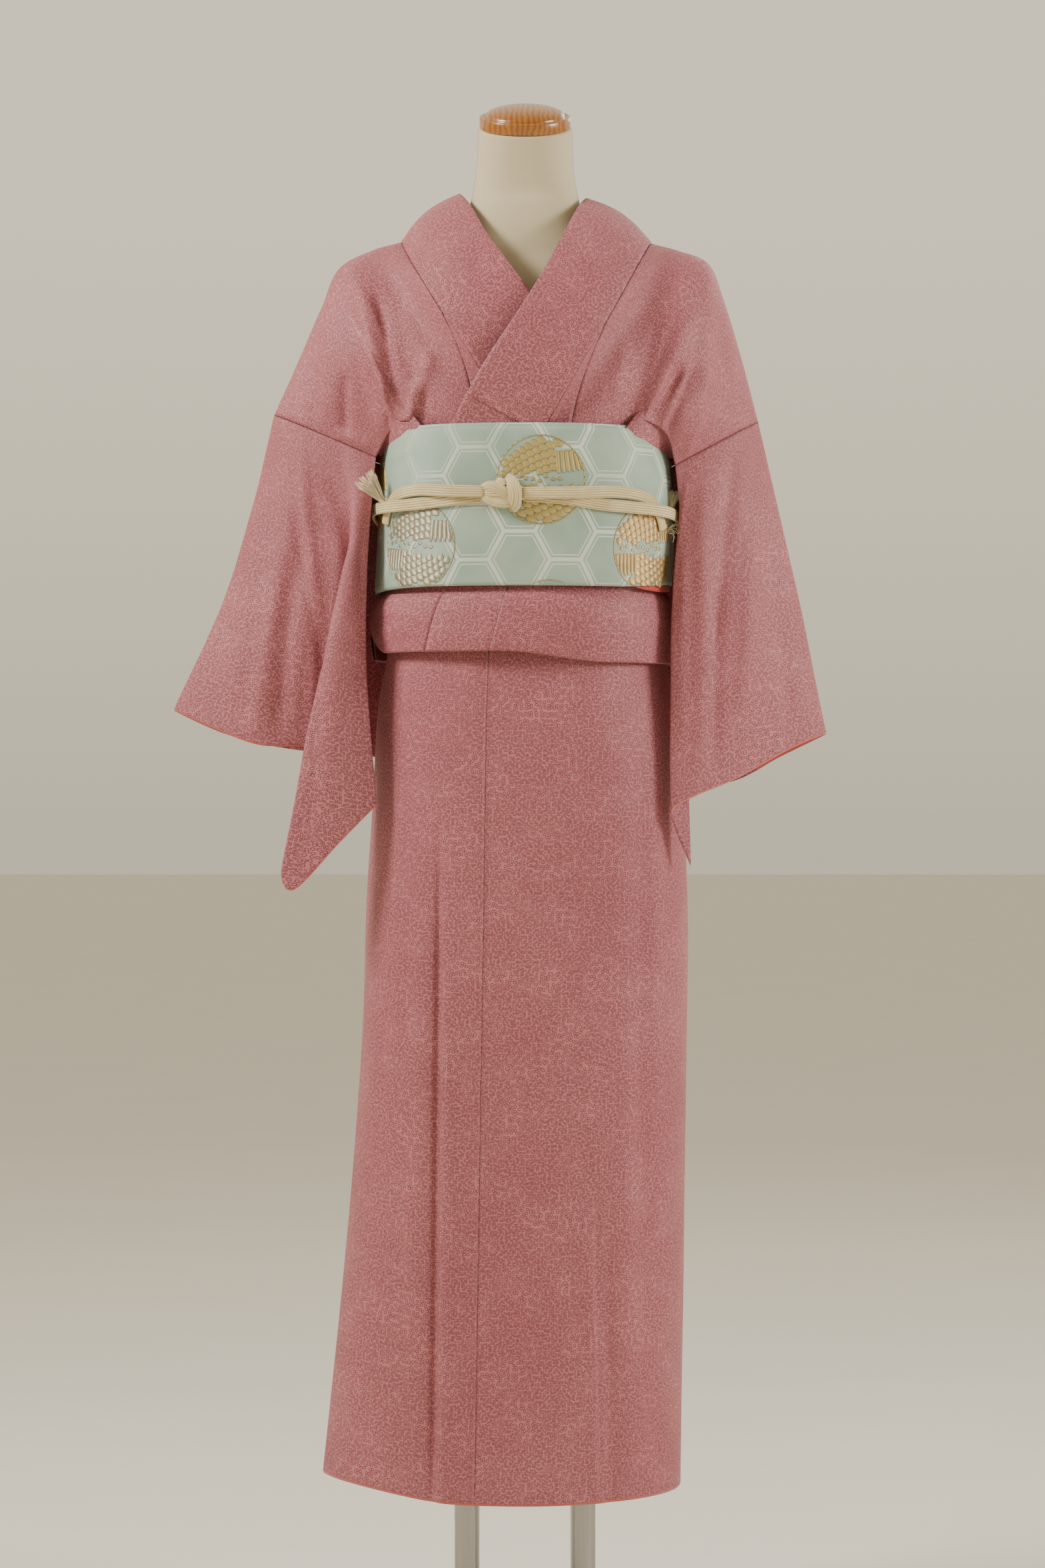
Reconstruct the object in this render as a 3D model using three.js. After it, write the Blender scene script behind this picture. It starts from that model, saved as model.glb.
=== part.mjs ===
// A lined silk kimono with its sash and cord, dressed on a limbless dress form on a two-pole stand.
// Millimetres, +Z up, the front faces -Y. "Left" and "right" in the names are the wearer's.
// The origin is the middle of the base plate's underside.

import * as THREE from 'three';

// Cloth and gaps
const CLOTH = 1.6; // lined silk
const OBI = 2.2; // one wrap of the folded sash
const COLLAR = 2.0; // folded collar band
const OVER_COLLAR = 1.0; // second band sewn over the collar
const SEAM = 0.3; // gap between two pieces at a seam
const LAYER = 0.4; // gap between two layers that lie on each other

// Heights
const HEM = 167.5; // hem of the skirt above the floor
const HEM_LIFT = 14; // how much higher the over-layer's free corner hangs
const SKIRT_TOP = 1092; // hidden under the sash
const TUCK_TOP = 1078; // top of the folded waist tuck, hidden under the sash
const OBI_LOW = 1057;
const OBI_HIGH = 1211;
const WRAP_GAP = 0.7; // between the two wraps
const OBI_PEEK = 3.5; // how far the first wrap shows above the second
const CAP_TILT = 20.8; // degrees that the neck cap leans forward

// Stand
const POLE_RADIUS = 12.5;
const POLE_SPACING = 116;
const POLE_TOP = 660;
const PLATE = { width: 400, depth: 300, thick: 10, corner: 60 };
const FLANGE = { radius: 24, height: 12 };

const COLOURS = {
  silk: { color: 0xb0696d, roughness: 0.75 },
  sash: { color: 0xa9c0b6, roughness: 0.5 },
  cord: { color: 0xe6d8b4, roughness: 0.7 },
  jersey: { color: 0xe2d6b8, roughness: 0.85 },
  wood: { color: 0xa8641c, roughness: 0.25 },
  steel: { color: 0x9c9a94, roughness: 0.3, metalness: 0.9 },
};
const MATERIALS = Object.fromEntries(
  Object.entries(COLOURS).map(([slot, look]) => [slot, new THREE.MeshStandardMaterial(look)]),
);

const part = new THREE.Group();

function addNode(name, geometry, slot, group = part) {
  const mesh = new THREE.Mesh(geometry, MATERIALS[slot]);
  mesh.name = name;
  group.add(mesh);
  return mesh;
}

// Numbers and curves

const radians = (degrees) => (degrees * Math.PI) / 180;
const mix = (a, b, t) => a + (b - a) * t;
const mixPoints = (a, b, t) => a.map((value, k) => mix(value, b[k], t));
const clamp = (x, low, high) => Math.min(Math.max(x, low), high);
const add = (a, b, scale = 1) => a.map((value, k) => value + b[k] * scale);
const minus = (a, b) => a.map((value, k) => value - b[k]);
const length = (a) => Math.hypot(...a);
const unit = (a) => a.map((value) => value / (length(a) || 1));
const cross = (a, b) => [a[1] * b[2] - a[2] * b[1], a[2] * b[0] - a[0] * b[2], a[0] * b[1] - a[1] * b[0]];
const dot = (a, b) => a.reduce((sum, value, k) => sum + value * b[k], 0);

function smooth(low, high, x) {
  const t = clamp((x - low) / (high - low), 0, 1);
  return t * t * (3 - 2 * t);
}

function steps(from, to, count) {
  return Array.from({ length: count + 1 }, (_, i) => mix(from, to, i / count));
}

// The smooth curve through the points, where t runs from 0 at the first to 1 at the last.
function through(points, t) {
  const last = points.length - 1;
  const i = clamp(Math.floor(t * last), 0, last - 1);
  const f = t * last - i;
  const b = points[i];
  const c = points[i + 1];
  const a = i > 0 ? points[i - 1] : add(b, minus(b, c));
  const d = i < last - 1 ? points[i + 2] : add(c, minus(c, b));
  return b.map((value, k) => {
    const cubic = 3 * (value - c[k]) + d[k] - a[k];
    const square = 2 * a[k] - 5 * value + 4 * c[k] - d[k];
    return value + 0.5 * f * (c[k] - a[k] + f * (square + f * cubic));
  });
}

function bezier(a, b, c, d, t) {
  const s = 1 - t;
  return a.map((value, k) => s * s * s * value + 3 * s * s * t * b[k] + 3 * s * t * t * c[k] + t * t * t * d[k]);
}

// A table's columns at a height between its rows, as smooth curves.
function sizesAt(table, z) {
  const last = table.length - 1;
  let i = table.findIndex((row) => row.z <= z);
  i = clamp(i < 0 ? last - 1 : i - 1, 0, last - 1);
  const low = table[i + 1];
  const high = table[i];
  const span = high.z - low.z;
  const f = clamp((z - low.z) / span, 0, 1);
  const sizes = { z };
  for (const column of Object.keys(low)) {
    if (column === 'z') continue;
    const slope = (k) => {
      const above = table[Math.max(k - 1, 0)];
      const below = table[Math.min(k + 1, last)];
      return (above[column] - below[column]) / (above.z - below.z);
    };
    const y0 = low[column];
    const y1 = high[column];
    const m0 = slope(i + 1) * span;
    const m1 = slope(i) * span;
    const ff = f * f;
    const fff = ff * f;
    sizes[column] = y0 * (2 * fff - 3 * ff + 1) + m0 * (fff - 2 * ff + f) + y1 * (3 * ff - 2 * fff) + m1 * (fff - ff);
  }
  return sizes;
}

// A point of a rounded body section. The angle is 0 at the front and grows towards +X.
function ringPoint(sizes, degrees, inset = 0) {
  const s = Math.sin(radians(degrees));
  const c = Math.cos(radians(degrees));
  const half = (s < 0 ? -sizes.left : sizes.right) - inset;
  const depth = (c > 0 ? -sizes.front : sizes.back) - inset;
  const n = sizes.square;
  const r = 1 / ((Math.abs(s) / half) ** n + (Math.abs(c) / depth) ** n) ** (1 / n);
  return [r * s, -r * c, sizes.z];
}

// Solids

function normalAt(at, u, v) {
  const h = 1e-3;
  const du = minus(at(u + h, v), at(u - h, v));
  const dv = minus(at(u, v + h), at(u, v - h));
  return unit(cross(du, dv));
}

// A closed body from its points and triangles, turned so that its faces point out.
function closedGeometry(points, triangles) {
  let volume = 0;
  for (const [a, b, c] of triangles) volume += dot(points[a], cross(points[b], points[c]));
  const index = triangles.flatMap(([a, b, c]) => (volume < 0 ? [a, c, b] : [a, b, c]));
  const geometry = new THREE.BufferGeometry();
  geometry.setAttribute('position', new THREE.Float32BufferAttribute(points.flat(), 3));
  geometry.setIndex(index);
  geometry.computeVertexNormals();
  return geometry;
}

// A cloth wall. at(u, v) is its outer face, and its inner face is that face moved in by the thickness.
// inward is a direction that points to the inside at the middle of the grid.
// normalOf can set the direction of the wall's edge where two pieces meet.
function wall(at, us, vs, thickness, inward, { probe, normalOf } = {}) {
  const [midU, midV] = probe ?? [us[us.length >> 1], vs[vs.length >> 1]];
  const sign = Math.sign(dot(normalAt(at, midU, midV), inward));
  const outer = [];
  const inner = [];
  for (const u of us) {
    for (const v of vs) {
      const point = at(u, v);
      const given = normalOf?.(u, v);
      const normal = given ?? normalAt(at, u, v).map((value) => value * sign);
      outer.push(point);
      inner.push(add(point, normal, thickness));
    }
  }
  const columns = vs.length;
  const count = outer.length;
  const triangles = [];
  const quad = (a, b, c, d) => triangles.push([a, b, c], [a, c, d]);
  const id = (i, j) => i * columns + j;
  for (let i = 0; i < us.length - 1; i += 1) {
    for (let j = 0; j < columns - 1; j += 1) {
      const [a, b, c, d] = [id(i, j), id(i + 1, j), id(i + 1, j + 1), id(i, j + 1)];
      quad(a, b, c, d);
      triangles.push([a + count, c + count, b + count], [a + count, d + count, c + count]);
    }
  }
  const edge = [];
  for (let i = 0; i < us.length - 1; i += 1) edge.push(id(i, 0));
  for (let j = 0; j < columns - 1; j += 1) edge.push(id(us.length - 1, j));
  for (let i = us.length - 1; i > 0; i -= 1) edge.push(id(i, columns - 1));
  for (let j = columns - 1; j > 0; j -= 1) edge.push(id(0, j));
  edge.forEach((a, k) => {
    const b = edge[(k + 1) % edge.length];
    quad(b, a, a + count, b + count);
  });
  return closedGeometry([...outer, ...inner], triangles);
}

// A closed outline carried along a path of frames. place(i, [across, up]) gives each point.
function sweep(count, outline, place, ring = false) {
  const points = [];
  for (let i = 0; i < count; i += 1) for (const corner of outline) points.push(place(i, corner));
  const m = outline.length;
  const triangles = [];
  const spans = ring ? count : count - 1;
  for (let i = 0; i < spans; i += 1) {
    const next = (i + 1) % count;
    for (let j = 0; j < m; j += 1) {
      const k = (j + 1) % m;
      triangles.push([i * m + j, next * m + j, next * m + k], [i * m + j, next * m + k, i * m + k]);
    }
  }
  if (!ring) {
    const flat = outline.map(([x, y]) => new THREE.Vector2(x, y));
    const forward = !THREE.ShapeUtils.isClockWise(flat);
    const faces = THREE.ShapeUtils.triangulateShape(forward ? flat : [...flat].reverse(), []);
    const real = (k) => (forward ? k : m - 1 - k);
    const far = (count - 1) * m;
    const towards = forward ? [0, 1, 2] : [0, 2, 1];
    for (const face of faces) {
      const [a, b, c] = towards.map((k) => real(face[k]));
      triangles.push([a, b, c], [far + a, far + c, far + b]);
    }
  }
  return closedGeometry(points, triangles);
}

// Soft creases. Each runs between two places given by x and z, and stands out by its height.
function creases(list, x, z) {
  let out = 0;
  for (const { from, to, height, wide } of list) {
    const along = [to[0] - from[0], to[1] - from[1]];
    const span = Math.hypot(...along);
    const t = ((x - from[0]) * along[0] + (z - from[1]) * along[1]) / (span * span);
    const away = ((x - from[0]) * along[1] - (z - from[1]) * along[0]) / span;
    const ends = smooth(-0.12, 0.18, t) * (1 - smooth(0.82, 1.12, t));
    out += height * ends * Math.exp(-((away / wide) ** 2));
  }
  return out;
}

// Dress form: rounded sections from the hips to the neck. lean is the tilt of the section, in degrees.
const FORM = [
  { z: 1517.5, left: -46.5, right: 46.5, front: -45, back: 45, middle: -15, lean: CAP_TILT },
  { z: 1500, left: -47, right: 47, front: -45, back: 45, middle: -10, lean: 17 },
  { z: 1478, left: -48.5, right: 48.5, front: -46, back: 47, middle: -4, lean: 12 },
  { z: 1456, left: -52, right: 52, front: -47, back: 50, middle: 0, lean: 6 },
  { z: 1438, left: -57, right: 57, front: -49, back: 54, middle: 0, lean: 0 },
  { z: 1420, left: -68, right: 68, front: -51, back: 58, middle: 0, lean: 0 },
  { z: 1402, left: -92, right: 92, front: -53, back: 62, middle: 0, lean: 0 },
  { z: 1386, left: -122, right: 122, front: -56, back: 65, middle: 0, lean: 0 },
  { z: 1370, left: -146, right: 146, front: -62, back: 70, middle: 0, lean: 0 },
  { z: 1348, left: -154, right: 154, front: -70, back: 76, middle: 0, lean: 0 },
  { z: 1320, left: -154, right: 154, front: -80, back: 83, middle: 0, lean: 0 },
  { z: 1280, left: -147, right: 147, front: -90, back: 88, middle: 0, lean: 0 },
  { z: 1235, left: -133, right: 133, front: -97, back: 91, middle: 0, lean: 0 },
  { z: 1195, left: -128, right: 128, front: -99, back: 92, middle: 0, lean: 0 },
  { z: 1130, left: -127, right: 127, front: -99.6, back: 92, middle: 0, lean: 0 },
  { z: 1075, left: -129, right: 129, front: -101.6, back: 94.2, middle: 0, lean: 0 },
  { z: 960, left: -136, right: 136, front: -104, back: 100, middle: 0, lean: 0 },
  { z: 840, left: -141, right: 141, front: -103, back: 105, middle: 0, lean: 0 },
  { z: 720, left: -140, right: 140, front: -97, back: 104, middle: 0, lean: 0 },
  { z: 665, left: -134, right: 134, front: -90, back: 98, middle: 0, lean: 0 },
  { z: 652, left: -122, right: 122, front: -80, back: 88, middle: 0, lean: 0 },
];
const FORM_SQUARE = 2.15;

function buildForm() {
  const around = 22;
  const points = [];
  for (const row of FORM) {
    const lean = radians(row.lean);
    for (let j = 0; j < around; j += 1) {
      const [x, y] = ringPoint({ ...row, square: FORM_SQUARE }, (360 * j) / around);
      points.push([x, row.middle + y * Math.cos(lean), row.z + y * Math.sin(lean)]);
    }
  }
  const triangles = [];
  for (let i = 0; i < FORM.length - 1; i += 1) {
    for (let j = 0; j < around; j += 1) {
      const k = (j + 1) % around;
      const [a, b] = [i * around, (i + 1) * around];
      triangles.push([a + j, b + j, b + k], [a + j, b + k, a + k]);
    }
  }
  const top = points.push([0, FORM[0].middle, FORM[0].z]) - 1;
  const low = points.push([0, 4, FORM.at(-1).z]) - 1;
  const base = (FORM.length - 1) * around;
  for (let j = 0; j < around; j += 1) {
    const k = (j + 1) % around;
    triangles.push([top, j, k], [low, base + k, base + j]);
  }
  addNode('form_torso', closedGeometry(points, triangles), 'jersey');
}

// Turned wooden cap, built upright and then leaned with the neck's top.
function buildCap() {
  const rim = { radius: 45.4, height: 12, bevel: 1.5 };
  const groove = { radius: 41, depth: 1 };
  const dome = { radius: 40, height: 11, steps: 7 };
  const profile = [
    [0, 0],
    [rim.radius - rim.bevel, 0],
    [rim.radius, rim.bevel],
    [rim.radius, rim.height - rim.bevel],
    [rim.radius - rim.bevel, rim.height],
    [groove.radius + 1, rim.height],
    [groove.radius, rim.height - groove.depth],
  ];
  for (let i = 0; i <= dome.steps; i += 1) {
    const a = radians((90 * i) / dome.steps);
    profile.push([dome.radius * Math.cos(a), rim.height + dome.height * Math.sin(a)]);
  }
  profile.at(-1)[0] = 0;
  const cap = new THREE.LatheGeometry(profile.map(([r, y]) => new THREE.Vector2(r, y)), 20);
  cap.rotateX(Math.PI / 2);
  const group = new THREE.Group();
  group.position.set(0, FORM[0].middle - SEAM * Math.sin(radians(CAP_TILT)), FORM[0].z + SEAM);
  group.rotation.x = radians(CAP_TILT);
  addNode('neck_cap', cap, 'wood', group);
  part.add(group);
}

function buildStand() {
  const { width, depth, thick, corner } = PLATE;
  const plate = new THREE.Shape();
  const x = width / 2 - corner;
  const y = depth / 2 - corner;
  plate.absarc(x, y, corner, 0, Math.PI / 2, false);
  plate.absarc(-x, y, corner, Math.PI / 2, Math.PI, false);
  plate.absarc(-x, -y, corner, Math.PI, Math.PI * 1.5, false);
  plate.absarc(x, -y, corner, Math.PI * 1.5, Math.PI * 2, false);
  plate.closePath();
  const bevel = 1.5;
  const slab = new THREE.ExtrudeGeometry(plate, {
    depth: thick - 2 * bevel,
    bevelSize: bevel,
    bevelThickness: bevel,
    bevelOffset: -bevel,
    bevelSegments: 1,
    curveSegments: 5,
  });
  slab.translate(0, 0, bevel);
  addNode('base_plate', slab, 'steel');
  for (const [side, sign] of [['left', 1], ['right', -1]]) {
    const low = thick + SEAM;
    const high = FORM.at(-1).z - SEAM;
    const pole = new THREE.CylinderGeometry(POLE_RADIUS, POLE_RADIUS, high - low, 20);
    pole.rotateX(Math.PI / 2);
    pole.translate((sign * POLE_SPACING) / 2, 0, (high + low) / 2);
    addNode(`pole_${side}`, pole, 'steel');
    const bore = POLE_RADIUS + SEAM;
    const flange = new THREE.LatheGeometry(
      [
        [bore, low],
        [FLANGE.radius, low],
        [FLANGE.radius, low + FLANGE.height - 3],
        [FLANGE.radius - 3, low + FLANGE.height],
        [bore, low + FLANGE.height],
        [bore, low],
      ].map(([r, z]) => new THREE.Vector2(r, z)),
      20,
    );
    flange.rotateX(Math.PI / 2);
    flange.translate((sign * POLE_SPACING) / 2, 0, 0);
    addNode(`pole_flange_${side}`, flange, 'steel');
  }
}

// Skirt: one cloth wound from the free edge of the over-layer (front, wearer's right) round the wearer's left
// side and the back to the free edge of the under-layer. left is the width at the wearer's right for the
// over-layer, and under the same for the layers beneath it.
const SKIRT = [
  { z: 1092, left: -133.7, under: -134.6, right: 133.7, front: -106.4, back: 98.8, square: 2.2 },
  { z: 1060, left: -135, under: -136, right: 135, front: -107.5, back: 100, square: 2.2 },
  { z: 990, left: -142, under: -142, right: 141.2, front: -111, back: 105, square: 2.2 },
  { z: 930, left: -148, under: -148, right: 150, front: -114, back: 111, square: 2.2 },
  { z: 850, left: -152, under: -152, right: 158, front: -114, back: 116, square: 2.2 },
  { z: 748, left: -158.5, under: -155, right: 162.5, front: -113, back: 119, square: 2.2 },
  { z: 629, left: -162, under: -157, right: 162, front: -113, back: 119, square: 2.2 },
  { z: 487, left: -172, under: -163, right: 160, front: -113, back: 118, square: 2.1 },
  { z: 350, left: -185, under: -171, right: 158, front: -113, back: 116, square: 1.98 },
  { z: 160, left: -206, under: -186, right: 155.5, front: -113, back: 112, square: 1.85 },
];
const UNDER_GAP = { top: 3.4, hem: 7 }; // how far the under-layer lies inside the over-layer
// Seams and free edges of the skirt, as angles round it, counted back from the over-layer's free edge.
const SKIRT_EDGES = {
  overFree: { top: -57, hem: -86 },
  overSeam: { top: -17, hem: -24 },
  leftSide: 98,
  centreBack: 180,
  rightSide: 262,
  underSeam: 388,
  underFree: 432,
};
// Creases of the over-layer, outward if the height is positive.
const SKIRT_CREASES = [
  { from: [-84, 760], to: [-91, 150], height: -2.6, wide: 5 },
  { from: [-76, 700], to: [-80, 150], height: 1.8, wide: 7 },
  { from: [64, 470], to: [70, 150], height: 2.2, wide: 9 },
  { from: [78, 430], to: [84, 150], height: -2.2, wide: 8 },
  { from: [30, 420], to: [66, 290], height: -1.6, wide: 7 },
];

function hemHeight(angle) {
  const turned = angle > 180 ? angle - 360 : angle;
  const lifted = HEM_LIFT * smooth(30, 86, -turned) * (1 - smooth(100, 160, -turned));
  return HEM + lifted + 5 * smooth(180, 262, angle);
}

function skirtPoint(angle, v) {
  const z = mix(SKIRT_TOP, hemHeight(angle), v);
  const row = sizesAt(SKIRT, z);
  const over = 1 - smooth(98, 262, angle);
  const sizes = { ...row, left: angle < 98 ? row.left : row.under };
  const point = ringPoint(sizes, angle, mix(UNDER_GAP.top, UNDER_GAP.hem, v) * (1 - over));
  if (angle > 90) return point;
  const out = creases(SKIRT_CREASES, point[0], point[2]);
  return add(point, unit([point[0] / 2, point[1], 0]), out);
}

function overFreeAngle(v) {
  return mix(SKIRT_EDGES.overFree.top, SKIRT_EDGES.overFree.hem, smooth(0, 0.2, v));
}

function overSeamAngle(v) {
  return mix(SKIRT_EDGES.overSeam.top, SKIRT_EDGES.overSeam.hem, v);
}

function buildSkirt() {
  const e = SKIRT_EDGES;
  const gap = 0.16; // degrees, about the seam gap on the ring
  const panels = [
    { name: 'skirt_overlap_left', from: overFreeAngle, to: (v) => overSeamAngle(v) - gap, around: 13 },
    { name: 'skirt_front_left', from: overSeamAngle, to: () => e.leftSide - gap, around: 19 },
    { name: 'skirt_back_left', from: () => e.leftSide, to: () => e.centreBack - gap, around: 9 },
    { name: 'skirt_back_right', from: () => e.centreBack, to: () => e.rightSide - gap, around: 9 },
    { name: 'skirt_front_right', from: () => e.rightSide, to: () => e.underSeam - gap, around: 12 },
    { name: 'skirt_overlap_right', from: () => e.underSeam, to: () => e.underFree, around: 5 },
  ];
  const down = [0, 0.06, 0.14, 0.24, 0.36, 0.5, 0.65, 0.79, 0.9, 1];
  for (const { name, from, to, around } of panels) {
    const at = (u, v) => skirtPoint(mix(from(v), to(v), u), v);
    const middle = at(0.5, 0.5);
    addNode(name, wall(at, steps(0, 1, around), down, CLOTH, [-middle[0], -middle[1], 0]), 'silk');
  }
}

// Waist tuck: the body cloth folded down on itself below the sash. It is a U of two layers.
const TUCK = [
  { z: 1078, left: -141, right: 141, front: -113, back: 105.6, square: 2.2 },
  { z: 1061, left: -142.4, right: 141.2, front: -114, back: 105.9, square: 2.2 },
  { z: 1055, left: -143.4, right: 141.6, front: -114.8, back: 106, square: 2.2 },
  { z: 1044, left: -152.5, right: 146.5, front: -121.5, back: 112, square: 2.2 },
  { z: 1015, left: -155.5, right: 148.5, front: -124.5, back: 114.5, square: 2.2 },
  { z: 985, left: -152, right: 148, front: -124, back: 113.5, square: 2.2 },
  { z: 970, left: -150, right: 147, front: -123, back: 112.5, square: 2.2 },
];
const TUCK_FOLD = { thick: 4.4, wall: 1.4 };
const TUCK_EDGES = { overFree: -82, collarSeam: -39, overlapSeam: -11, leftSide: 98, centreBack: 180, end: 270 };
const TUCK_SLANT = 10; // degrees that the two front seams lean by, from the sash to the fold

function tuckLow(angle) {
  const corner = 22 * smooth(66, 84, -angle);
  return 993.5 + corner - 10.5 * smooth(-10, 40, angle) + 5 * smooth(100, 180, angle);
}

// A place on the folded cloth: w runs down the outer layer to 1, round the fold to 2 and up the inner layer to 3.
function tuckPlace(low, w) {
  const round = TUCK_FOLD.thick / 2;
  if (w <= 1) return { z: mix(TUCK_TOP, low + round, w), inset: 0 };
  if (w >= 2) return { z: mix(low + round, TUCK_TOP, w - 2), inset: TUCK_FOLD.thick };
  const turn = Math.PI * (w - 1);
  return { z: low + round - round * Math.sin(turn), inset: round - round * Math.cos(turn) };
}

function buildTuck() {
  const e = TUCK_EDGES;
  const gap = 0.16;
  const slanted = (base, z) => base + TUCK_SLANT * (0.5 - (TUCK_TOP - z) / 84);
  const panels = [
    { name: 'tuck_collar_end', from: () => e.overFree, to: (z) => slanted(e.collarSeam, z) - gap, around: 8 },
    {
      name: 'tuck_overlap_left',
      from: (z) => slanted(e.collarSeam, z),
      to: (z) => slanted(e.overlapSeam, z) - gap,
      around: 5,
    },
    { name: 'tuck_front_left', from: (z) => slanted(e.overlapSeam, z), to: () => e.leftSide - gap, around: 14 },
    { name: 'tuck_back_left', from: () => e.leftSide, to: () => e.centreBack - gap, around: 8 },
    { name: 'tuck_back_right', from: () => e.centreBack, to: () => e.end, around: 9 },
  ];
  const down = [0, 0.26, 0.4, 0.66, 1, 1.33, 1.67, 2, 2.6, 2.74, 3];
  for (const { name, from, to, around } of panels) {
    const at = (u, w) => {
      const rough = mix(from(1010), to(1010), u);
      const { z, inset } = tuckPlace(tuckLow(rough), w);
      return ringPoint(sizesAt(TUCK, z), mix(from(z), to(z), u), inset);
    };
    const [x, y] = at(0.5, 0.5);
    const options = { probe: [0.5, 0.5] };
    addNode(name, wall(at, steps(0, 1, around), down, TUCK_FOLD.wall, [-x, -y, 0], options), 'silk');
  }
}

// Sash: two wraps, the first showing a little above the second.
const SASH = [
  { z: 1222, left: -138, right: 133, front: -120.2, back: 108, square: 2.5 },
  { z: 1208, left: -141, right: 137, front: -121.5, back: 110, square: 2.5 },
  { z: 1185, left: -144, right: 145, front: -122.8, back: 112, square: 2.5 },
  { z: 1137, left: -146, right: 148.5, front: -123.5, back: 112.5, square: 2.45 },
  { z: 1095, left: -148, right: 149, front: -123.5, back: 112.5, square: 2.4 },
  { z: 1070, left: -149.5, right: 147.5, front: -122.5, back: 112, square: 2.4 },
  { z: 1050, left: -150, right: 147, front: -121, back: 112, square: 2.4 },
];

// The depth of a place behind the front of the sash, or in front of its back, inside both wraps.
function underSash(x, z, inset, side = -1) {
  const row = sizesAt(SASH, z);
  const all = 2 * OBI + WRAP_GAP + inset;
  const half = (x < 0 ? -row.left : row.right) - all;
  const deep = (side < 0 ? -row.front : row.back) - all;
  return side * deep * (1 - (Math.abs(x) / half) ** row.square) ** (1 / row.square);
}

function sashTop(angle) {
  return OBI_HIGH - 8 * smooth(62, 92, Math.abs(angle)) + 6 * smooth(110, 160, Math.abs(angle));
}

function sashLow(angle) {
  return OBI_LOW + 6 * smooth(40, 90, angle) - 3 * smooth(40, 90, -angle) * (1 - smooth(100, 150, -angle));
}

function sashPoint(angle, v, inset = 0, raise = 0) {
  const turned = ((angle + 180) % 360 + 360) % 360 - 180;
  const z = mix(sashTop(turned) + raise, sashLow(turned), v);
  return ringPoint(sizesAt(SASH, z), angle, inset);
}

function buildSash() {
  const wraps = [
    { name: 'obi_wrap_second', inset: 0, raise: 0 },
    { name: 'obi_wrap_first', inset: OBI + WRAP_GAP, raise: OBI_PEEK },
  ];
  const rim = 0.7;
  for (const { name, inset, raise } of wraps) {
    const down = [0, 0.08, 0.5, 1];
    const outline = [
      ...down.map((v) => [v === 0 || v === 1 ? rim : 0, v]),
      ...[...down].reverse().map((v) => [v === 0 || v === 1 ? OBI - rim : OBI, v]),
    ];
    const around = 54;
    const place = (i, [deep, v]) => sashPoint((360 * i) / around, v, inset + deep, raise);
    addNode(name, sweep(around, outline, place, true), 'sash');
  }
}

// Drum bow at the back, as a band across the wearer's back. Each row is a place on its path, seen from the side.
const DRUM = [
  [112.15, 1168],
  [112.15, 1196],
  [113.6, 1222],
  [124, 1243],
  [148, 1250],
  [172, 1243],
  [185, 1220],
  [190, 1160],
  [189, 1080],
  [182, 1010],
  [172, 975],
  [162, 966],
  [153, 974],
  [150, 1000],
  [147.2, 1050],
  [146.6, 1128],
];
const DRUM_HALF = 152;
const TAIL = [
  [146.1, 1096],
  [146.4, 1040],
  [146, 990],
  [139, 950],
  [132, 908],
];
const HAND = { half: 166, low: 1102, high: 1172, front: 150, thick: 5, round: 2 };

function bandAt(path, half) {
  return (u, v) => {
    const [y, z] = through(path, v);
    const sag = 3 * (1 - u * u);
    const bow = 5 * (1 - Math.abs(u) ** 2.5);
    const out = smooth(118, 150, y);
    return [half * u, y + (bow - 5) * out, z + (sag - 3) * out];
  };
}

function buildDrum() {
  const across = [-1, -0.85, -0.45, 0, 0.45, 0.85, 1];
  const drum = bandAt(DRUM, DRUM_HALF);
  const probe = [0, 0.55];
  addNode('obi_drum', wall(drum, across, steps(0, 1, 26), 3, [0, -1, 0], { probe }), 'sash');
  const tail = bandAt(TAIL, DRUM_HALF - 1);
  addNode('obi_tail', wall(tail, across, steps(0, 1, 8), 3, [0, -1, 0]), 'sash');
  const { half, low, high, front, thick, round } = HAND;
  const shape = new THREE.Shape();
  shape.moveTo(-half, low + round);
  shape.lineTo(-half, high - round);
  shape.lineTo(-half + round, high);
  shape.lineTo(half - round, high);
  shape.lineTo(half, high - round);
  shape.lineTo(half, low + round);
  shape.lineTo(half - round, low);
  shape.lineTo(-half + round, low);
  shape.closePath();
  const hand = new THREE.ExtrudeGeometry(shape, { depth: thick, bevelEnabled: false });
  hand.rotateX(Math.PI / 2);
  hand.translate(0, front + thick, 0);
  addNode('obi_hand', hand, 'sash');
}

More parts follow.
